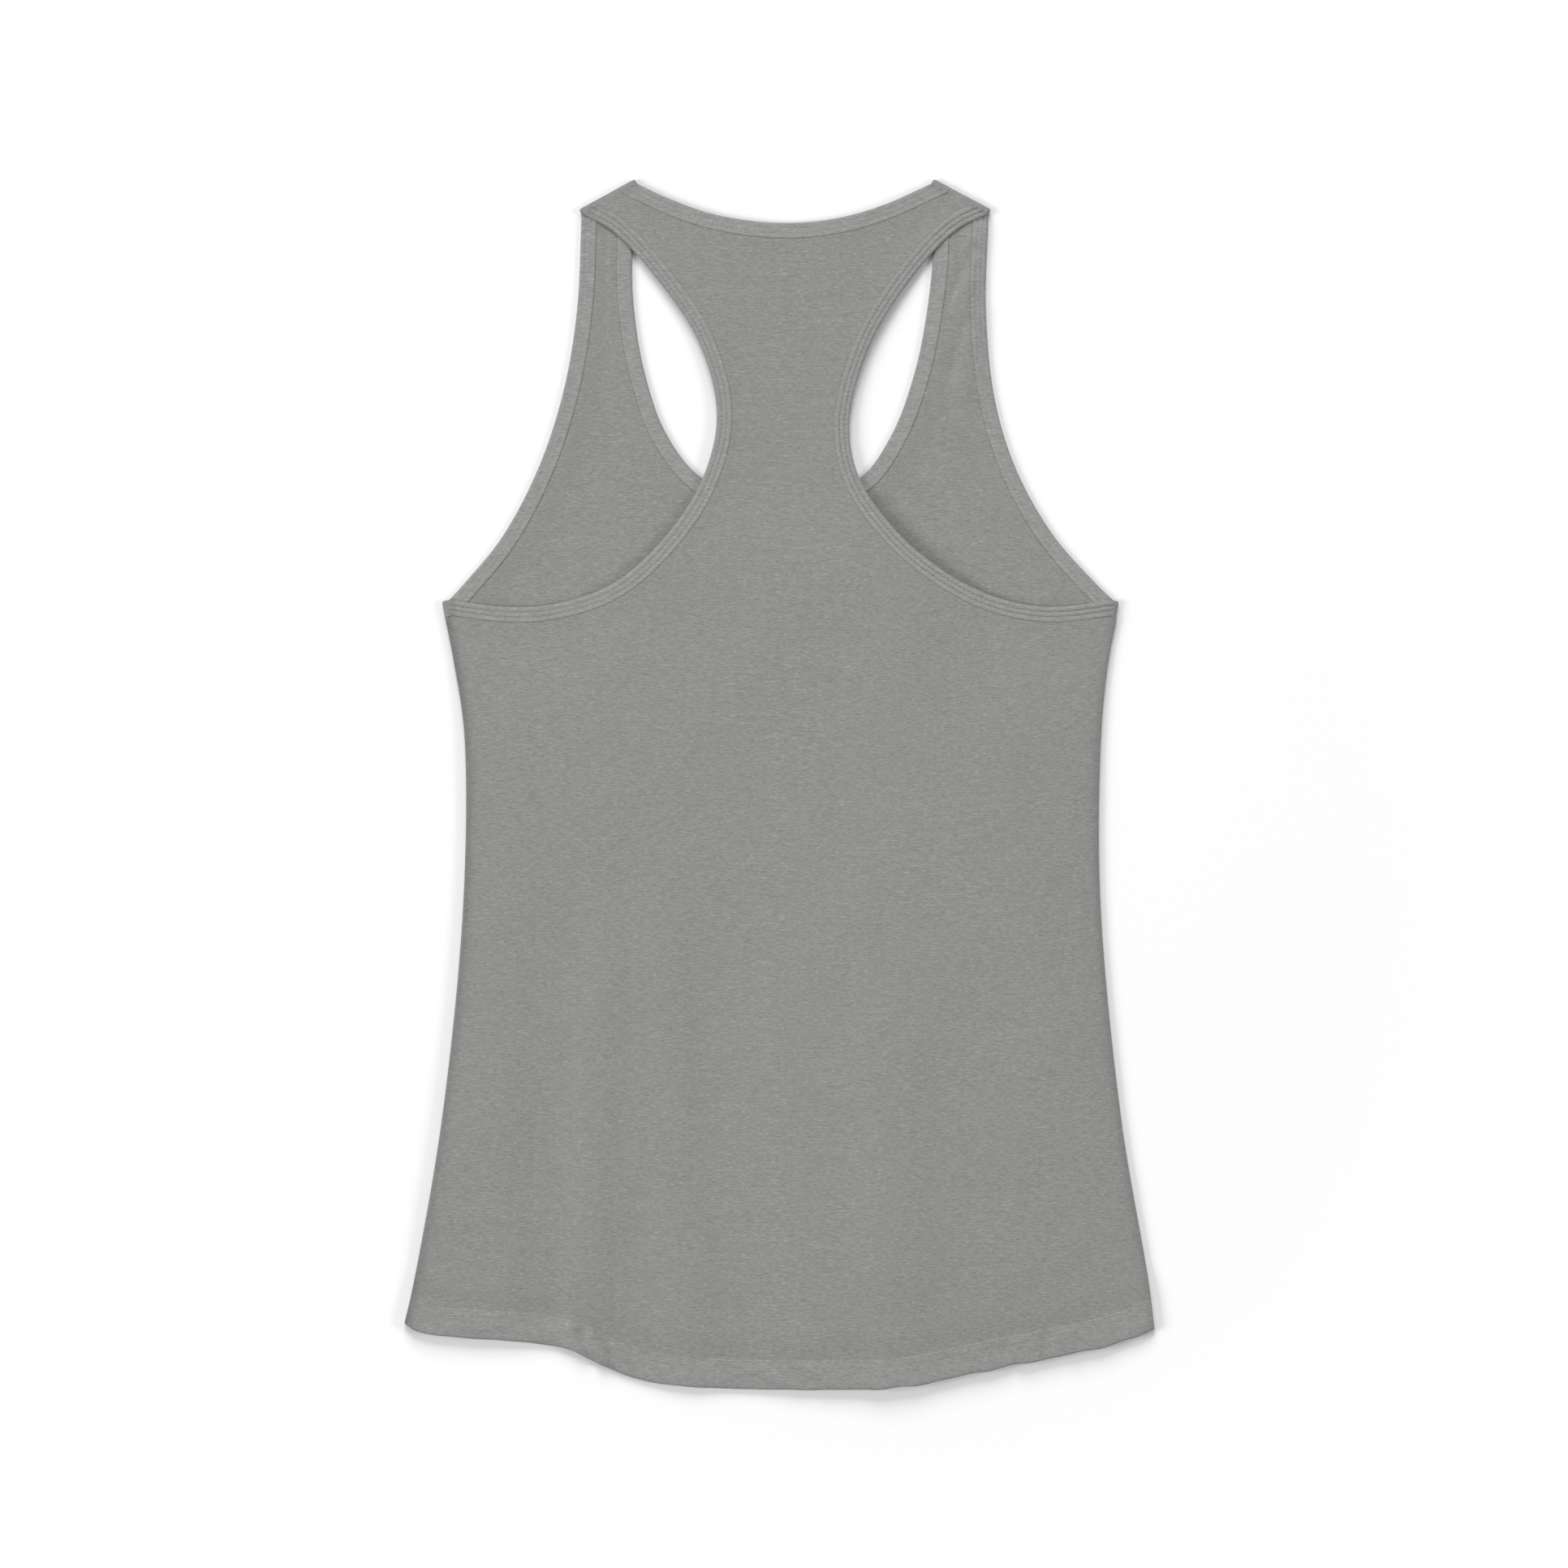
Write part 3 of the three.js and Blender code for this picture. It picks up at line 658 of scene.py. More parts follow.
def front_grid(strips, edges, sizes):
    """Points of the front, half by half, and its faces. Below the scoop the right half takes
    over the left half's points on the middle line."""
    offset = BINDING_WIDTH - SEAM_OVERLAP
    neck = seam_line(strips["front neck"], offset, OUT_LEFT, OUT_RIGHT)
    low = int(np.argmin(neck[:, 1]))
    neck[low, 0] = 0.0
    upwards = {name: values[::-1] for name, values in strips["front right"].items()}
    arm_left = seam_line(strips["front left"], offset, None, OUT_LEFT)
    arm_right = seam_line(upwards, offset, None, OUT_RIGHT)
    depth = sizes.hem / MM
    left, middle_rows, hem_rows = front_half_places(SIDE_LEFT, arm_left, neck[: low + 1][::-1], depth)
    right = front_half_places(SIDE_RIGHT, arm_right, neck[low:], depth)[0]
    halves = []
    for rows in (left, right):
        heights = lower_middle(rows, sizes) + up_to_binding(to_bound_edge(rows, edges), *FRONT_RISE)
        halves.append(with_hem(rows, heights, hem_rows, sizes.cloth / MM, False))
    numbers = [np.arange(half[..., 0].size).reshape(half.shape[:2]) for half in halves]
    numbers[1] += numbers[0].size
    joined = hem_rows + middle_rows
    numbers[1][:joined, -1] = numbers[0][:joined, -1]
    faces = np.concatenate([grid_faces(numbers[0])[:, ::-1], grid_faces(numbers[1])])
    return np.concatenate([half.reshape(-1, 3) for half in halves]), faces


def make_panel(name, node, points, faces, edges, sizes):
    """Builds one panel, thick to both sides of its points, and lets it stand for its node."""
    obj = cloth_mesh(name, points.reshape(-1, 3), faces, cloth_attributes(points, edges))
    obj.data.materials.append(material_named("Jersey"))
    wall = obj.modifiers.new("Cloth", "SOLIDIFY")
    wall.thickness = sizes.cloth
    wall.offset = 0
    wall.use_even_offset = False
    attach(obj, "root")
    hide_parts(node)


# ---------------------------------------------------------------- bindings


def binding_profile(thickness):
    """Closed outline of the folded strip as (across, off) pairs, off being along its normal,
    and how much each pair is sunk by the stitching.

    The bound edge is a half ellipse; both faces are flat, and sunk at the two stitch rows by
    a narrow bell each; the inner end turns down like the fold of the strip onto the cloth.
    """
    half = thickness / 2
    turn = np.linspace(-np.pi / 2, np.pi / 2, 11)
    edge = np.stack([1.4 - 1.4 * np.cos(turn), half * np.sin(turn)], axis=1)
    a = np.linspace(1.8, BINDING_WIDTH - 0.5, 26)
    sunk = sum(np.exp(-(((a - row) / 0.5) ** 2)) for row in STITCH_ROWS)
    top = np.stack([a, np.full(len(a), half)], axis=1)
    end = np.array([
        [BINDING_WIDTH - 0.22, half * 0.93], [BINDING_WIDTH - 0.04, half * 0.7], [BINDING_WIDTH, half * 0.42],
    ])
    end = np.vstack([end, (end * [1, -1])[::-1]])
    outline = np.vstack([edge, top, end, (top * [1, -1])[::-1]])
    return outline, np.concatenate([np.zeros(len(edge)), sunk, np.zeros(len(end)), sunk[::-1]])


def binding_points(lower, upper, first, second, depth, sizes):
    """Points (station, profile, xyz) of a closed binding, with what the finish reads on them.

    Stations run through the lower half with the strip's normal down, over the first fold,
    back through the upper half with the normal up, and down over the second fold. Round a
    fold the normal turns from down to up, cos(t) outwards plus sin(t) up, and the strip's
    middle keeps a fixed radius from the fold's axis. The stitch grooves are depth deep on
    the upper half and half as deep below.
    """
    profile, sunk = binding_profile(sizes.binding / MM)
    across = profile[:, 0]
    blocks, runs, creases, grooves = [], [], [], []

    def flat(stations, height, sign):
        count = len(stations["at"])
        from_end = np.minimum(np.arange(count), np.arange(count)[::-1]) * path_length(stations["at"]) / count
        groove = depth * (1 if sign > 0 else 0.5) * (1 + 0.7 * np.exp(-((from_end / 40) ** 2)))[:, None]
        off = profile[:, 1] - np.sign(profile[:, 1]) * sunk * groove
        follow = smooth((from_end - 1) / 14)[:, None]
        xy = stations["at"][:, None, :] + stations["across"][:, None, :] * across[None, :, None]
        centre = stations["at"] + stations["across"] * (BINDING_WIDTH / 2)
        z = height(centre, sizes)[:, None] * (1 - follow) + height(xy, sizes) * follow + sign * off
        blocks.append(np.dstack([xy, z[..., None]]))
        runs.append(path_length(stations["at"]) / (count - 1))
        # crease: how much painted shade the finish gives, 1 round a fold and fading within a few mm of each
        # end of a flat part.
        creases.append(np.exp(-((from_end / 3.5) ** 2)))
        # groove: the depth of the stitch grooves, which the finish also turns into painted shade.
        grooves.append(groove * sunk)

    def fold(start, end, line, rising):
        low = float(lower_binding_middle((start if rising else end)["mid"][None], sizes)[0])
        high = float(upper_middle((end if rising else start)["mid"][None], sizes)[0])
        radius = (high - low) / 2
        share = np.arange(1, FOLD_STEPS) / FOLD_STEPS
        angle = (share - 0.5 if rising else 0.5 - share) * np.pi
        normal = np.outer(np.cos(angle), [*line["out"], 0]) + np.outer(np.sin(angle), [0, 0, 1])
        at = start["at"] + (end["at"] - start["at"]) * share[:, None]
        way = start["across"] + (end["across"] - start["across"]) * share[:, None]
        swell = np.outer(np.cos(angle), [*line["out"], 0]) * line["bulge"]
        origin = np.column_stack([at, np.full(len(at), low + radius)]) + normal * radius + swell
        way = np.column_stack([way, np.zeros(len(way))])
        blocks.append(
            origin[:, None, :]
            + way[:, None, :] * across[None, :, None]
            + normal[:, None, :] * profile[None, :, 1, None]
        )
        runs.append(np.pi * radius / FOLD_STEPS)
        creases.append(np.ones(len(at)))
        grooves.append(0 * sunk)

    def end_of(stations, index):
        at, way = stations["at"][index], stations["across"][index]
        return {"at": at, "across": way, "mid": at + way * (BINDING_WIDTH / 2)}

    flat(lower, lower_binding_middle, -1)
    fold(end_of(lower, -1), end_of(upper, 0), FOLDS[first], True)
    flat(upper, upper_middle, 1)
    fold(end_of(upper, -1), end_of(lower, 0), FOLDS[second], False)
    points = np.concatenate(blocks)
    step = np.concatenate([np.full(len(b), r) for b, r in zip(blocks, runs)])
    whole = np.zeros(points.shape[:2])
    return points, {
        "along": np.cumsum(step)[:, None] + whole,
        "across": across + whole,
        "crease": np.concatenate(creases)[:, None] + whole,
        "groove": np.concatenate([g + np.zeros(b.shape[:2]) for g, b in zip(grooves, blocks)]),
    }


def ring_faces(rows, columns):
    """Quads of a grid that closes on itself both ways."""
    r, c = np.meshgrid(np.arange(rows), np.arange(columns), indexing="ij")
    r1, c1 = (r + 1) % rows, (c + 1) % columns
    return np.stack(
        [r * columns + c, r * columns + c1, r1 * columns + c1, r1 * columns + c], axis=-1
    ).reshape(-1, 4)


def make_binding(name, node, lower, upper, first, second, depth, sizes):
    """Builds one binding from its two edges and two folds, and lets it stand for its node."""
    points, attributes = binding_points(lower, upper, first, second, depth, sizes)
    obj = cloth_mesh(name, points.reshape(-1, 3), ring_faces(*points.shape[:2]), attributes)
    obj.data.materials.append(material_named("Binding"))
    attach(obj, "root")
    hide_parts(node)


# ---------------------------------------------------------------- stitching


def stitch_points(centres, ways, normals, length, thickness):
    """Closed grains of thread: each is three rings of five round a stitch and two ends.

    A ring at t along the stitch has radius thickness / 2 (1 - 0.55 t^2) and bows off the
    cloth by a quarter of a thickness times (1 - t^2). Returns the points, and the faces as
    lists of their numbers.
    """
    side = np.cross(normals, ways)
    t = np.array([-0.8, 0.0, 0.8])
    angle = np.arange(5) * 2 * np.pi / 5
    radius = thickness / 2 * (1 - 0.55 * t**2)
    bow = thickness / 4 * (1 - t**2)
    rings = (
        centres[:, None, None, :]
        + ways[:, None, None, :] * (t * length / 2)[None, :, None, None]
        + normals[:, None, None, :] * (bow[:, None] + radius[:, None] * np.sin(angle))[None, :, :, None]
        + side[:, None, None, :] * (radius[:, None] * np.cos(angle))[None, :, :, None]
    ).reshape(len(centres), 15, 3)
    ends = np.stack([centres - ways * length / 2, centres + ways * length / 2], axis=1)
    points = np.concatenate([rings, ends], axis=1)
    a = np.arange(5)
    b = (a + 1) % 5
    quads = np.concatenate([
        np.stack([ring + a, ring + b, ring + 5 + b, ring + 5 + a], axis=1) for ring in (0, 5)
    ])
    first_cap = np.stack([np.full(5, 15), b, a], axis=1)
    last_cap = np.stack([np.full(5, 16), 10 + a, 10 + b], axis=1)
    first_point = 17 * np.arange(len(centres))[:, None, None]
    quads = (first_point + quads).reshape(-1, 4)
    caps = (first_point + np.concatenate([first_cap, last_cap])).reshape(-1, 3)
    return points.reshape(-1, 3), quads.tolist() + caps.tolist()


def stitch_rows(paths, sizes):
    """Joins rows of stitches: each path is a polyline on the cloth with its normals, and a
    stitch fills a fixed share of its pitch."""
    pitch = sizes.stitch / MM
    centres, ways, normals = [], [], []
    for points, normal in paths:
        count = int(path_length(points) / pitch)
        shares = (np.arange(count) + 0.5) / count
        at = at_shares(points, shares)
        near = 0.3 / count
        way = unit(at_shares(points, shares + near) - at_shares(points, shares - near))
        square = at_shares(normal, np.linspace(0, 1, count))
        square = unit(square - way * (square * way).sum(1, keepdims=True))
        centres.append(at)
        ways.append(way)
        normals.append(square)
    return stitch_points(
        np.concatenate(centres), np.concatenate(ways), np.concatenate(normals),
        pitch * STITCH_SHARE, THREAD_THICKNESS,
    )


def make_stitching(name, paths, sizes):
    """One mesh of thread for several rows, in the slot of the cloth that it holds."""
    obj = new_mesh(name, *stitch_rows(paths, sizes))
    obj.data.materials.append(material_named("Thread"))
    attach(obj, "root")


# ---------------------------------------------------------------- materials


class Wire:
    """A socket that can be used in sums: each operator adds one Math node."""

    def __init__(self, maker, socket):
        self.maker = maker
        self.socket = socket

    def _math(self, operation, *values):
        return self.maker.add("ShaderNodeMath", {"operation": operation}, dict(enumerate(values)))

    def __add__(self, other):
        return self._math("ADD", self, other)

    def __radd__(self, other):
        return self._math("ADD", other, self)

    def __sub__(self, other):
        return self._math("SUBTRACT", self, other)

    def __rsub__(self, other):
        return self._math("SUBTRACT", other, self)

    def __mul__(self, other):
        return self._math("MULTIPLY", self, other)

    def __rmul__(self, other):
        return self._math("MULTIPLY", other, self)

    def __truediv__(self, other):
        return self._math("DIVIDE", self, other)

    def __rtruediv__(self, other):
        return self._math("DIVIDE", other, self)

    def __neg__(self):
        return self._math("MULTIPLY", self, -1.0)

    def sin(self):
        return self._math("SINE", self)

    def bell(self, centre, half_width):
        """exp(-((value - centre) / half width)^2)"""
        offset = (self - centre) / half_width
        return self._math("POWER", math.e, -(offset * offset))

    def step(self, low, high):
        """0 below low, 1 above high, smooth between."""
        return self.maker.add(
            "ShaderNodeMapRange",
            {"interpolation_type": "SMOOTHSTEP"},
            {"Value": self, "From Min": low, "From Max": high},
        )


class Maker:
    """Adds nodes to one material."""

    def __init__(self, name):
        self.material = bpy.data.materials.new(name)
        self.material.use_nodes = True
        self.tree = self.material.node_tree
        self.tree.nodes.clear()

    def add(self, kind, settings=None, inputs=None, output=0):
        """A node of a kind, its settings and inputs set or linked; returns one of its outputs."""
        node = self.tree.nodes.new(kind)
        for name, value in (settings or {}).items():
            setattr(node, name, value)
        for name, value in (inputs or {}).items():
            if isinstance(value, Wire):
                self.tree.links.new(value.socket, node.inputs[name])
            else:
                node.inputs[name].default_value = value
        return Wire(self, node.outputs[output]) if node.outputs else None

    def place(self):
        """Object coordinates, in metres."""
        return self.add("ShaderNodeTexCoord", output="Object")

    def scaled(self, place, scale):
        """A place multiplied axis by axis."""
        return self.add("ShaderNodeMapping", None, {"Vector": place, "Scale": scale})

    def noise(self, place, scale, detail=2.0, roughness=0.5):
        """Noise between 0 and 1 with a number of features a metre along each axis."""
        return self.add(
            "ShaderNodeTexNoise",
            None,
            {"Vector": self.scaled(place, scale), "Scale": 1.0, "Detail": detail, "Roughness": roughness},
        )

    def slanted_noise(self, place, degrees, spacing):
        """Noise whose grain runs at an angle: the place is turned back by the angle, then
        divided by the spacing along and across the grain."""
        turned = self.add(
            "ShaderNodeMapping",
            {"vector_type": "TEXTURE"},
            {"Vector": place, "Rotation": (0, 0, math.radians(degrees)), "Scale": spacing},
        )
        return self.add("ShaderNodeTexNoise", None, {"Vector": turned, "Scale": 1.0, "Detail": 1.5})

    def attribute(self, name):
        """A number kept on the mesh."""
        return self.add("ShaderNodeAttribute", {"attribute_name": name}, output="Fac")

    def finish(self, colour, tone, height, roughness):
        """A cloth shader: colour times tone, and a height in metres as bump."""
        tinted = self.add("ShaderNodeVectorMath", {"operation": "SCALE"}, {0: colour, "Scale": tone})
        normal = self.add("ShaderNodeBump", None, {"Strength": 1.0, "Distance": 1.0, "Height": height})
        shader = self.add(
            "ShaderNodeBsdfPrincipled",
            None,
            {
                "Base Color": tinted,
                "Roughness": roughness,
                "Specular IOR Level": 0.25,
                "Sheen Weight": 0.12,
                "Sheen Roughness": 0.6,
                "Normal": normal,
            },
        )
        self.add("ShaderNodeOutputMaterial", None, {"Surface": shader})
        return self.material


def heather(maker, place):
    """Tone and slub of the heather: short crosswise streaks, longer pale and dark fibres and
    a broad mottle, as a multiplier about 1, and the streaks themselves for bump."""
    streak = maker.noise(place, (420, 1700, 700), 2.0, 0.6)
    fibre = maker.noise(place, (190, 1500, 600), 1.0, 0.5)
    fleck = maker.noise(place, (300, 1500, 600), 1.0, 0.4).step(0.60, 0.72)
    shade = maker.noise(place, (350, 1400, 550), 1.0, 0.4).step(0.38, 0.24)
    mottle = maker.noise(place, (28, 45, 30), 2.0, 0.5)
    tone = 0.98 + (streak - 0.5) * 0.75 + (fibre - 0.5) * 0.36 + fleck * 0.20 - shade * 0.08
    return tone + (mottle - 0.5) * 0.05, streak


def knit_height(maker, place, streak):
    """Height of the knit in metres: columns of loops 0.8 mm apart, courses 0.6 mm apart,
    thrown about by the streaks, over a shallow unevenness some centimetres across."""
    x = maker.add("ShaderNodeSeparateXYZ", None, {"Vector": place}, output="X")
    y = maker.add("ShaderNodeSeparateXYZ", None, {"Vector": place}, output="Y")
    columns = (x * (2 * math.pi / LOOP_SPACING)).sin()
    courses = (y * (2 * math.pi / COURSE_SPACING)).sin()
    uneven = maker.noise(place, (70, 110, 80), 2.0, 0.55) * 0.00022
    return columns * courses * LOOP_HEIGHT + (streak - 0.5) * 0.00009 + uneven


def jersey_material(colours, sizes):
    """Panels: heather, with painted shade beside each binding, at the sides, above the hem and along
    its folded edge, a painted highlight along the ridge at the top of the hem, and a paler doubled
    hem with its two rows of stitching sunk in and small slanting puckers, whose light and shade
    are partly painted."""
    maker = Maker("Jersey")
    place = maker.place()
    tone, streak = heather(maker, place)
    height = knit_height(maker, place, streak)
    to_edge, to_hem = maker.attribute("bound_edge"), maker.attribute("hem_edge")
    # seam: painted shade in a narrow line where the panel meets each binding.
    seam = to_edge.bell(BINDING_WIDTH + 0.1, 0.45)
    # side: painted shade along the folded sides where the cloth turns down, deeper on the left than on the
    # right.
    right = maker.add("ShaderNodeSeparateXYZ", None, {"Vector": place}, output="X").step(-0.05, 0.05)
    side = maker.attribute("side_edge").bell(0.4, 3.2) * (0.34 - right * 0.22)
    depth = sizes.hem / MM
    band = 1.0 - to_hem.step(depth - 0.6, depth + 0.4)
    # Painted highlight along the ridge at the top of the hem band.
    ridge_highlight = to_hem.bell(depth - 0.9, 0.8)
    # Painted shade in the dip of the cloth just above the hem band.
    above_hem_shade = to_hem.bell(depth + 6.0, 9.0) * (1.0 - band)
    # The puckers are bump, and their light and shade are also painted into the tone.
    pucker = maker.slanted_noise(place, -54, (0.016, 0.0042, 0.02))
    cluster = maker.noise(place, (38, 60, 40), 1.0, 0.4).step(0.42, 0.62)
    low_row, high_row = (to_hem.bell(depth - row, 0.5) for row in HEM_STITCH_ROWS)
    # Painted shade along the hem's folded lower edge.
    hem_edge_shade = to_hem.bell(0.0, 3.0)
    tone = tone * (1.0 + band * 0.055 + ridge_highlight * 0.02 - above_hem_shade * 0.055 - hem_edge_shade * 0.07)
    tone = tone * (1.0 - seam * 0.09 - side + band * cluster * (pucker - 0.5) * 0.16)
    height = height + band * cluster * pucker * 0.0009 + band * 0.0001 - (low_row + high_row) * 0.00008
    return maker.finish(tuple(colours.jersey), tone, height, CLOTH_ROUGHNESS)


def binding_material(colours):
    """Bindings: the same heather, a little paler because the cloth is doubled, with sunken
    stitch rows and small pulls across the strip, and painted shade in the stitch rows, along
    both edges and round the folds."""
    maker = Maker("Binding")
    place = maker.place()
    tone, streak = heather(maker, place)
    height = knit_height(maker, place, streak)
    across, along = maker.attribute("across"), maker.attribute("along")
    # rows: painted shade in the sunken stitch rows, darker where the groove is deeper.
    rows = maker.attribute("groove") * 0.45
    pulls = (along * (2 * math.pi / 2.6)).sin() * 0.00003
    # Painted shade along the rolled bound edge and at the inner end where the strip meets the cloth.
    edge_shade = across.bell(0.0, 1.5) * 0.07 + across.bell(BINDING_WIDTH, 0.25) * 0.06
    # The crease number adds painted shade round the folds and near the ends of the flat parts.
    tone = tone * (1.0 - rows - edge_shade - maker.attribute("crease") * 0.16)
    height = height + pulls * across.bell(4.3, 2.4)
    return maker.finish(tuple(colours.binding), tone, height, CLOTH_ROUGHNESS)


def thread_material(colours):
    """Spun thread: fine slanting ply."""
    maker = Maker("Thread")
    place = maker.place()
    ply = maker.noise(place, (2500, 2500, 2500), 1.0, 0.5)
    return maker.finish(tuple(colours.thread), 0.9 + ply * 0.2, ply * 0.00003, THREAD_ROUGHNESS)


def table_material(colours):
    """A pale table, its tone 1 in the middle and a little whiter further out: painted light that evens out
    the lamps' falloff.
    """
    maker = Maker("Table")
    place = maker.place()
    far = maker.add("ShaderNodeVectorMath", {"operation": "LENGTH"}, {0: place}, output="Value")
    # Painted light: the tone rises further out to even out the lamps' falloff, with a faint random mottle.
    tone = 1.0 + far.step(0.30, 0.75) * 0.10 + (maker.noise(place, (3, 3, 3), 1.0, 0.5) - 0.5) * 0.01
    return maker.finish(tuple(colours.table), tone, 0.0, TABLE_ROUGHNESS)


def material_named(name):
    """A finish by name, made the first time it is asked for."""
    found = bpy.data.materials.get(name)
    if found:
        return found
    scene = bpy.context.scene
    colours, sizes = scene.tank_top_colours, scene.tank_top_sizes
    makers = {
        "Jersey": lambda: jersey_material(colours, sizes),
        "Binding": lambda: binding_material(colours),
        "Thread": lambda: thread_material(colours),
        "Table": lambda: table_material(colours),
    }
    return makers[name]()


# ---------------------------------------------------------------- operators


class TANKTOP_OT_back(bpy.types.Operator):
    """Make the racerback back panel with its turned-up hem"""

    bl_idname = "tanktop.back"
    bl_label = "Back panel"

    def execute(self, context):
        sizes = context.scene.tank_top_sizes
        strips = edge_strips(4.0)
        edges = [strips[name]["at"] for name in ("back left", "back right", "back neck")]
        make_panel("back_cloth", "back_panel", *back_grid(edges, sizes), edges, sizes)
        return {"FINISHED"}


class TANKTOP_OT_front(bpy.types.Operator):
    """Make the front panel with its straps, scoop and turned-up hem"""

    bl_idname = "tanktop.front"
    bl_label = "Front panel"

    def execute(self, context):
        sizes = context.scene.tank_top_sizes
        strips = edge_strips(2.0)
        edges = [strips[name]["at"][::2] for name in ("front left", "front right", "front neck")]
        make_panel("front_cloth", "front_panel", *front_grid(strips, edges, sizes), edges, sizes)
        return {"FINISHED"}


class TANKTOP_OT_bindings(bpy.types.Operator):
    """Make the neck binding and the two armhole bindings"""

    bl_idname = "tanktop.bindings"
    bl_label = "Bindings"

    def execute(self, context):
        sizes = context.scene.tank_top_sizes
        strips = edge_strips(1.0)
        # name, node, the edges it covers, the two folds it goes round, depth of its grooves
        bands = (
            ("neck_band", "neck_binding", "neck", "right shoulder, neck", "left shoulder, neck", 0.06),
            ("left_band", "armhole_binding_left", "left", "left shoulder, arm", "left underarm", 0.15),
            ("right_band", "armhole_binding_right", "right", "right underarm", "right shoulder, arm", 0.22),
        )
        for name, node, part, first, second, depth in bands:
            lower, upper = strips["front " + part], strips["back " + part]
            make_binding(name, node, lower, upper, first, second, depth, sizes)
        return {"FINISHED"}


def row_path(xy, z, sign):
    """A row of stitches: its places, and its normals straight up or straight down."""
    normals = np.zeros((len(xy), 3))
    normals[:, 2] = sign
    return np.column_stack([xy, z]), normals


def binding_thread(stations, sign, sizes):
    """The two rows on a binding's upper (1) or lower (-1) face, clear of its folds."""
    middle = upper_middle if sign > 0 else lower_binding_middle
    face = sign * (sizes.binding / MM / 2 - THREAD_SUNK)
    at, across = stations["at"][3:-3], stations["across"][3:-3]
    rows = [at + across * reach for reach in STITCH_ROWS]
    return [row_path(xy, middle(xy, sizes) + face, sign) for xy in rows]


def hem_thread(middle, sign, sunk, sizes):
    """The two rows of a hem, each moved square in from the folded edge by its reach."""
    x = np.linspace(-HEM_STITCH_REACH, HEM_STITCH_REACH, 260)
    slope = np.gradient(hem_height(x), x)
    run = np.sqrt(1 + slope**2)
    face = sign * (sizes.cloth / MM / 2 - sunk)
    rows = []
    for row in HEM_STITCH_ROWS:
        reach = sizes.hem / MM - row
        xy = np.column_stack([x - slope / run * reach, hem_height(x) + reach / run])
        rows.append(row_path(xy, middle(xy, sizes) + face, sign))
    return rows


class TANKTOP_OT_stitching(bpy.types.Operator):
    """Sew the twin rows on the bindings and the hems"""

    bl_idname = "tanktop.stitching"
    bl_label = "Stitching"

    def execute(self, context):
        sizes = context.scene.tank_top_sizes
        strips = edge_strips(2.0)
        for part in ("neck", "left", "right"):
            upper = binding_thread(strips["back " + part], 1, sizes)
            lower = binding_thread(strips["front " + part], -1, sizes)
            make_stitching(f"{part}_stitches", upper + lower, sizes)
        upper = hem_thread(upper_middle, 1, HEM_THREAD_SUNK, sizes)
        make_stitching("back_hem_stitches", upper, sizes)
        lower = hem_thread(lower_middle, -1, THREAD_SUNK, sizes)
        make_stitching("front_hem_stitches", lower, sizes)
        return {"FINISHED"}


def add_light(scene, name, place, side, share):
    """A square light aimed at the origin. Its power is share pi^2 distance^3 / height, which
    evens out how far it stands and how low it shines."""
    data = bpy.data.lights.new(name, "AREA")
    data.shape = "SQUARE"
    data.size = side
    distance = math.hypot(*place)
    data.energy = share * math.pi**2 * distance**3 / place[2]
    lamp = bpy.data.objects.new(name, data)
    lamp.location = place
    tilt = math.acos(place[2] / distance)
    lamp.rotation_euler = (tilt, 0, math.atan2(place[1], place[0]) + math.pi / 2)
    scene.collection.objects.link(lamp)


def add_camera(scene):
    """A camera that looks straight down on the garment."""
    height = scene.tank_top_sizes.camera_height
    data = bpy.data.cameras.new("camera")
    data.sensor_width = SENSOR_WIDTH
    data.lens = SENSOR_WIDTH * (height - CLOTH_LEVEL * MM) / (VIEW_WIDTH * MM)
    data.clip_end = 20
    camera = bpy.data.objects.new("camera", data)
    camera.location = ((VIEW_MIDDLE + SHIFT[0]) * MM, SHIFT[1] * MM, height)
    scene.collection.objects.link(camera)
    scene.camera = camera


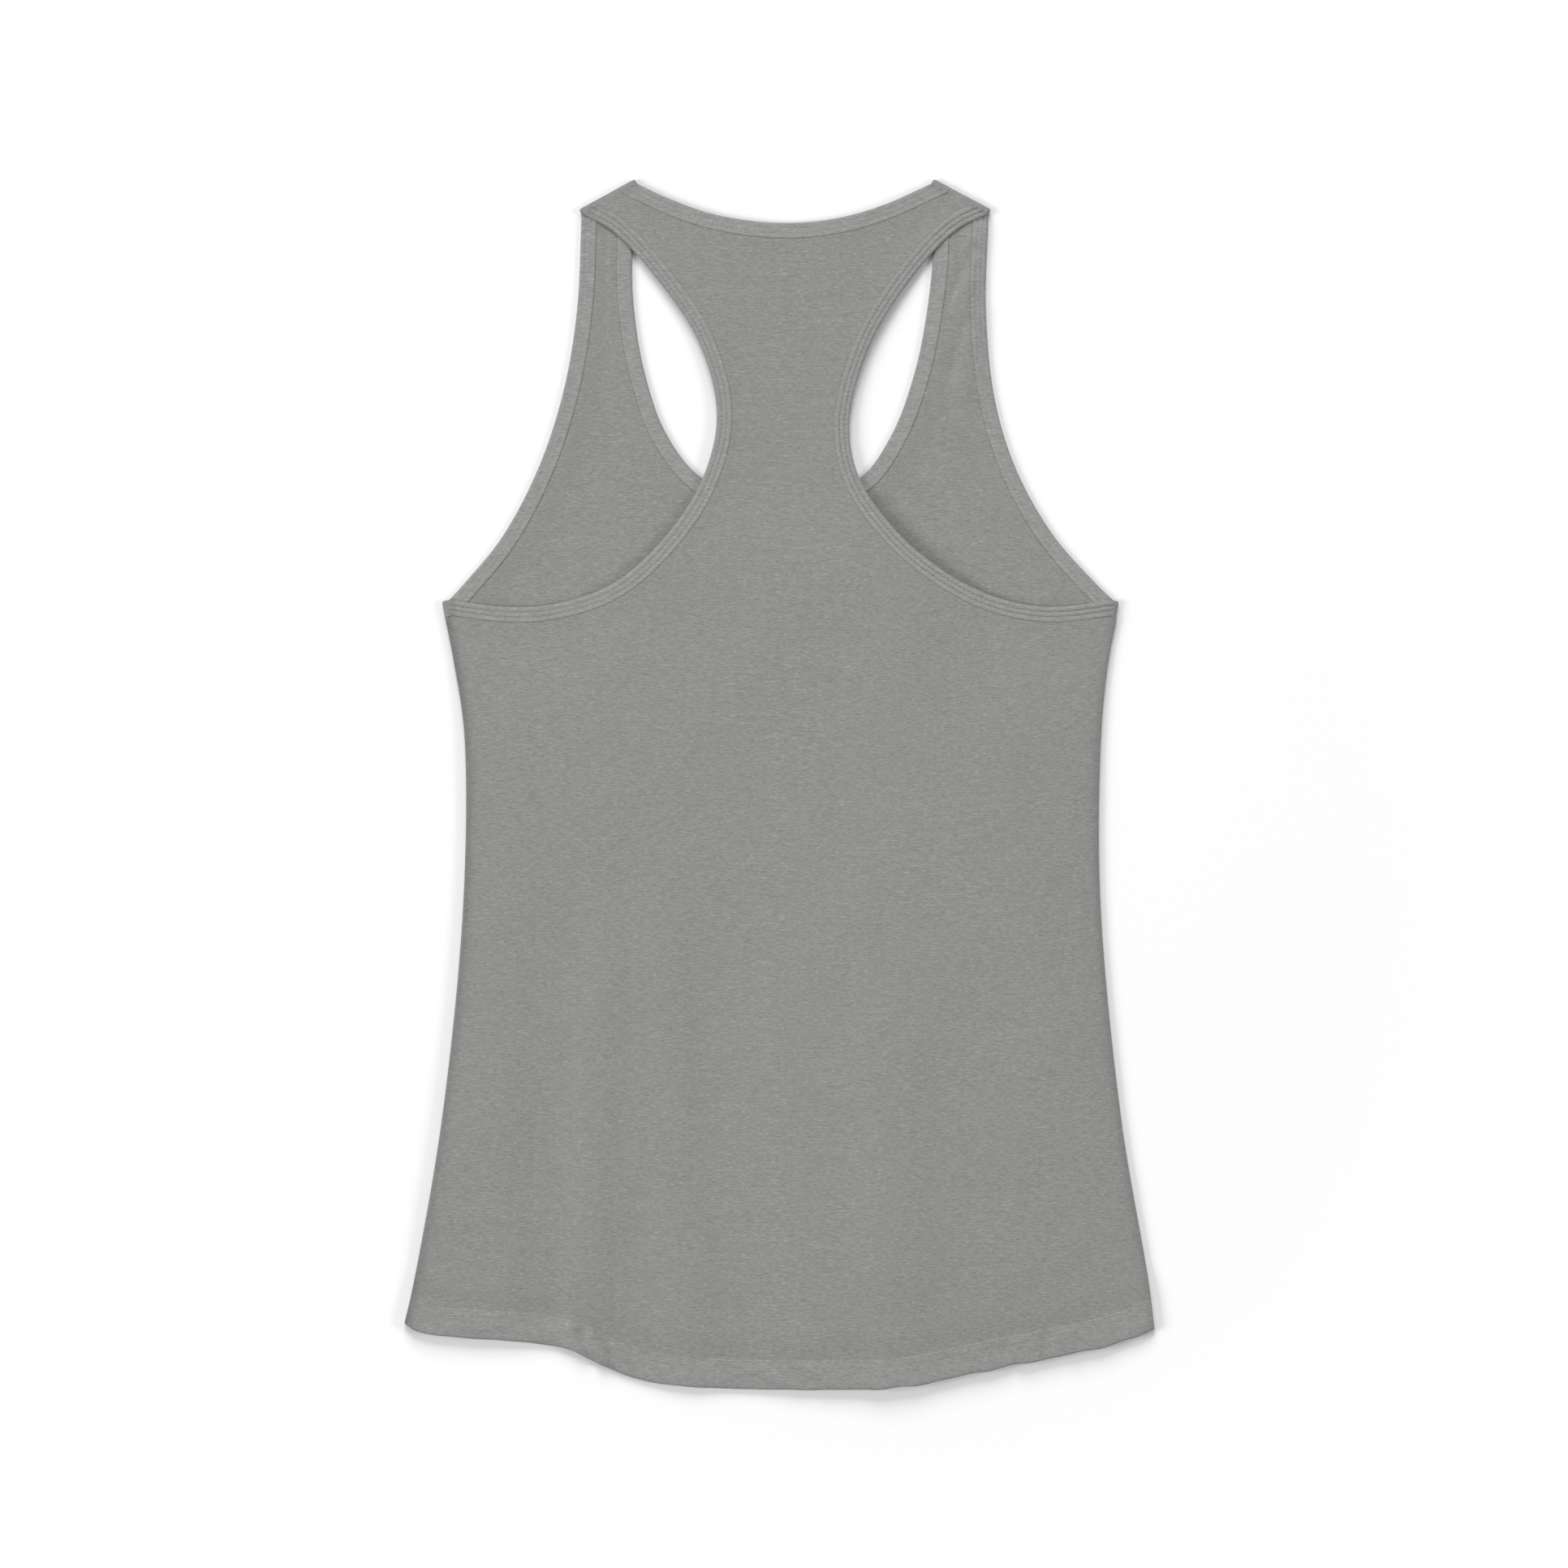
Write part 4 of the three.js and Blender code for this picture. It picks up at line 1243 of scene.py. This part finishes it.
class TANKTOP_OT_stage(bpy.types.Operator):
    """Lay out the table, the lights and the camera"""

    bl_idname = "tanktop.stage"
    bl_label = "Stage"

    def execute(self, context):
        scene = context.scene
        mesh = bpy.data.meshes.new("table")
        far = TABLE_REACH
        mesh.from_pydata([(-far, -far, 0), (far, -far, 0), (far, far, 0), (-far, far, 0)], [], [(0, 1, 2, 3)])
        table = bpy.data.objects.new("table", mesh)
        scene.collection.objects.link(table)
        mesh.materials.append(material_named("Table"))
        for light in LIGHTS:
            add_light(scene, *light)
        world = bpy.data.worlds.new("studio")
        world.use_nodes = True
        background = world.node_tree.nodes["Background"]
        background.inputs["Color"].default_value = (1, 1, 1, 1)
        background.inputs["Strength"].default_value = SKY_STRENGTH
        scene.world = world
        add_camera(scene)
        scene.view_settings.view_transform = "Standard"
        return {"FINISHED"}


class TANKTOP_PT_sidebar(bpy.types.Panel):
    """The tank top's sizes, colours and steps"""

    bl_idname = "TANKTOP_PT_sidebar"
    bl_label = "Tank Top"
    bl_space_type = "VIEW_3D"
    bl_region_type = "UI"
    bl_category = "Tank Top"

    def draw(self, context):
        column = self.layout.column()
        for group in (context.scene.tank_top_sizes, context.scene.tank_top_colours):
            for name in group.__annotations__:
                column.prop(group, name)
        for step in STEPS:
            column.operator(step.bl_idname)


STEPS = (TANKTOP_OT_stage, TANKTOP_OT_front, TANKTOP_OT_back, TANKTOP_OT_bindings, TANKTOP_OT_stitching)
CLASSES = (TankTopSizes, TankTopColours, *STEPS, TANKTOP_PT_sidebar)


def register():
    for kind in CLASSES:
        bpy.utils.register_class(kind)
    bpy.types.Scene.tank_top_sizes = PointerProperty(type=TankTopSizes)
    bpy.types.Scene.tank_top_colours = PointerProperty(type=TankTopColours)


def unregister():
    del bpy.types.Scene.tank_top_colours
    del bpy.types.Scene.tank_top_sizes
    for kind in reversed(CLASSES):
        bpy.utils.unregister_class(kind)


def main():
    """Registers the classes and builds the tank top."""
    register()
    bpy.ops.tanktop.stage()
    bpy.ops.tanktop.front()
    bpy.ops.tanktop.back()
    bpy.ops.tanktop.bindings()
    bpy.ops.tanktop.stitching()


if __name__ == "__main__":
    main()
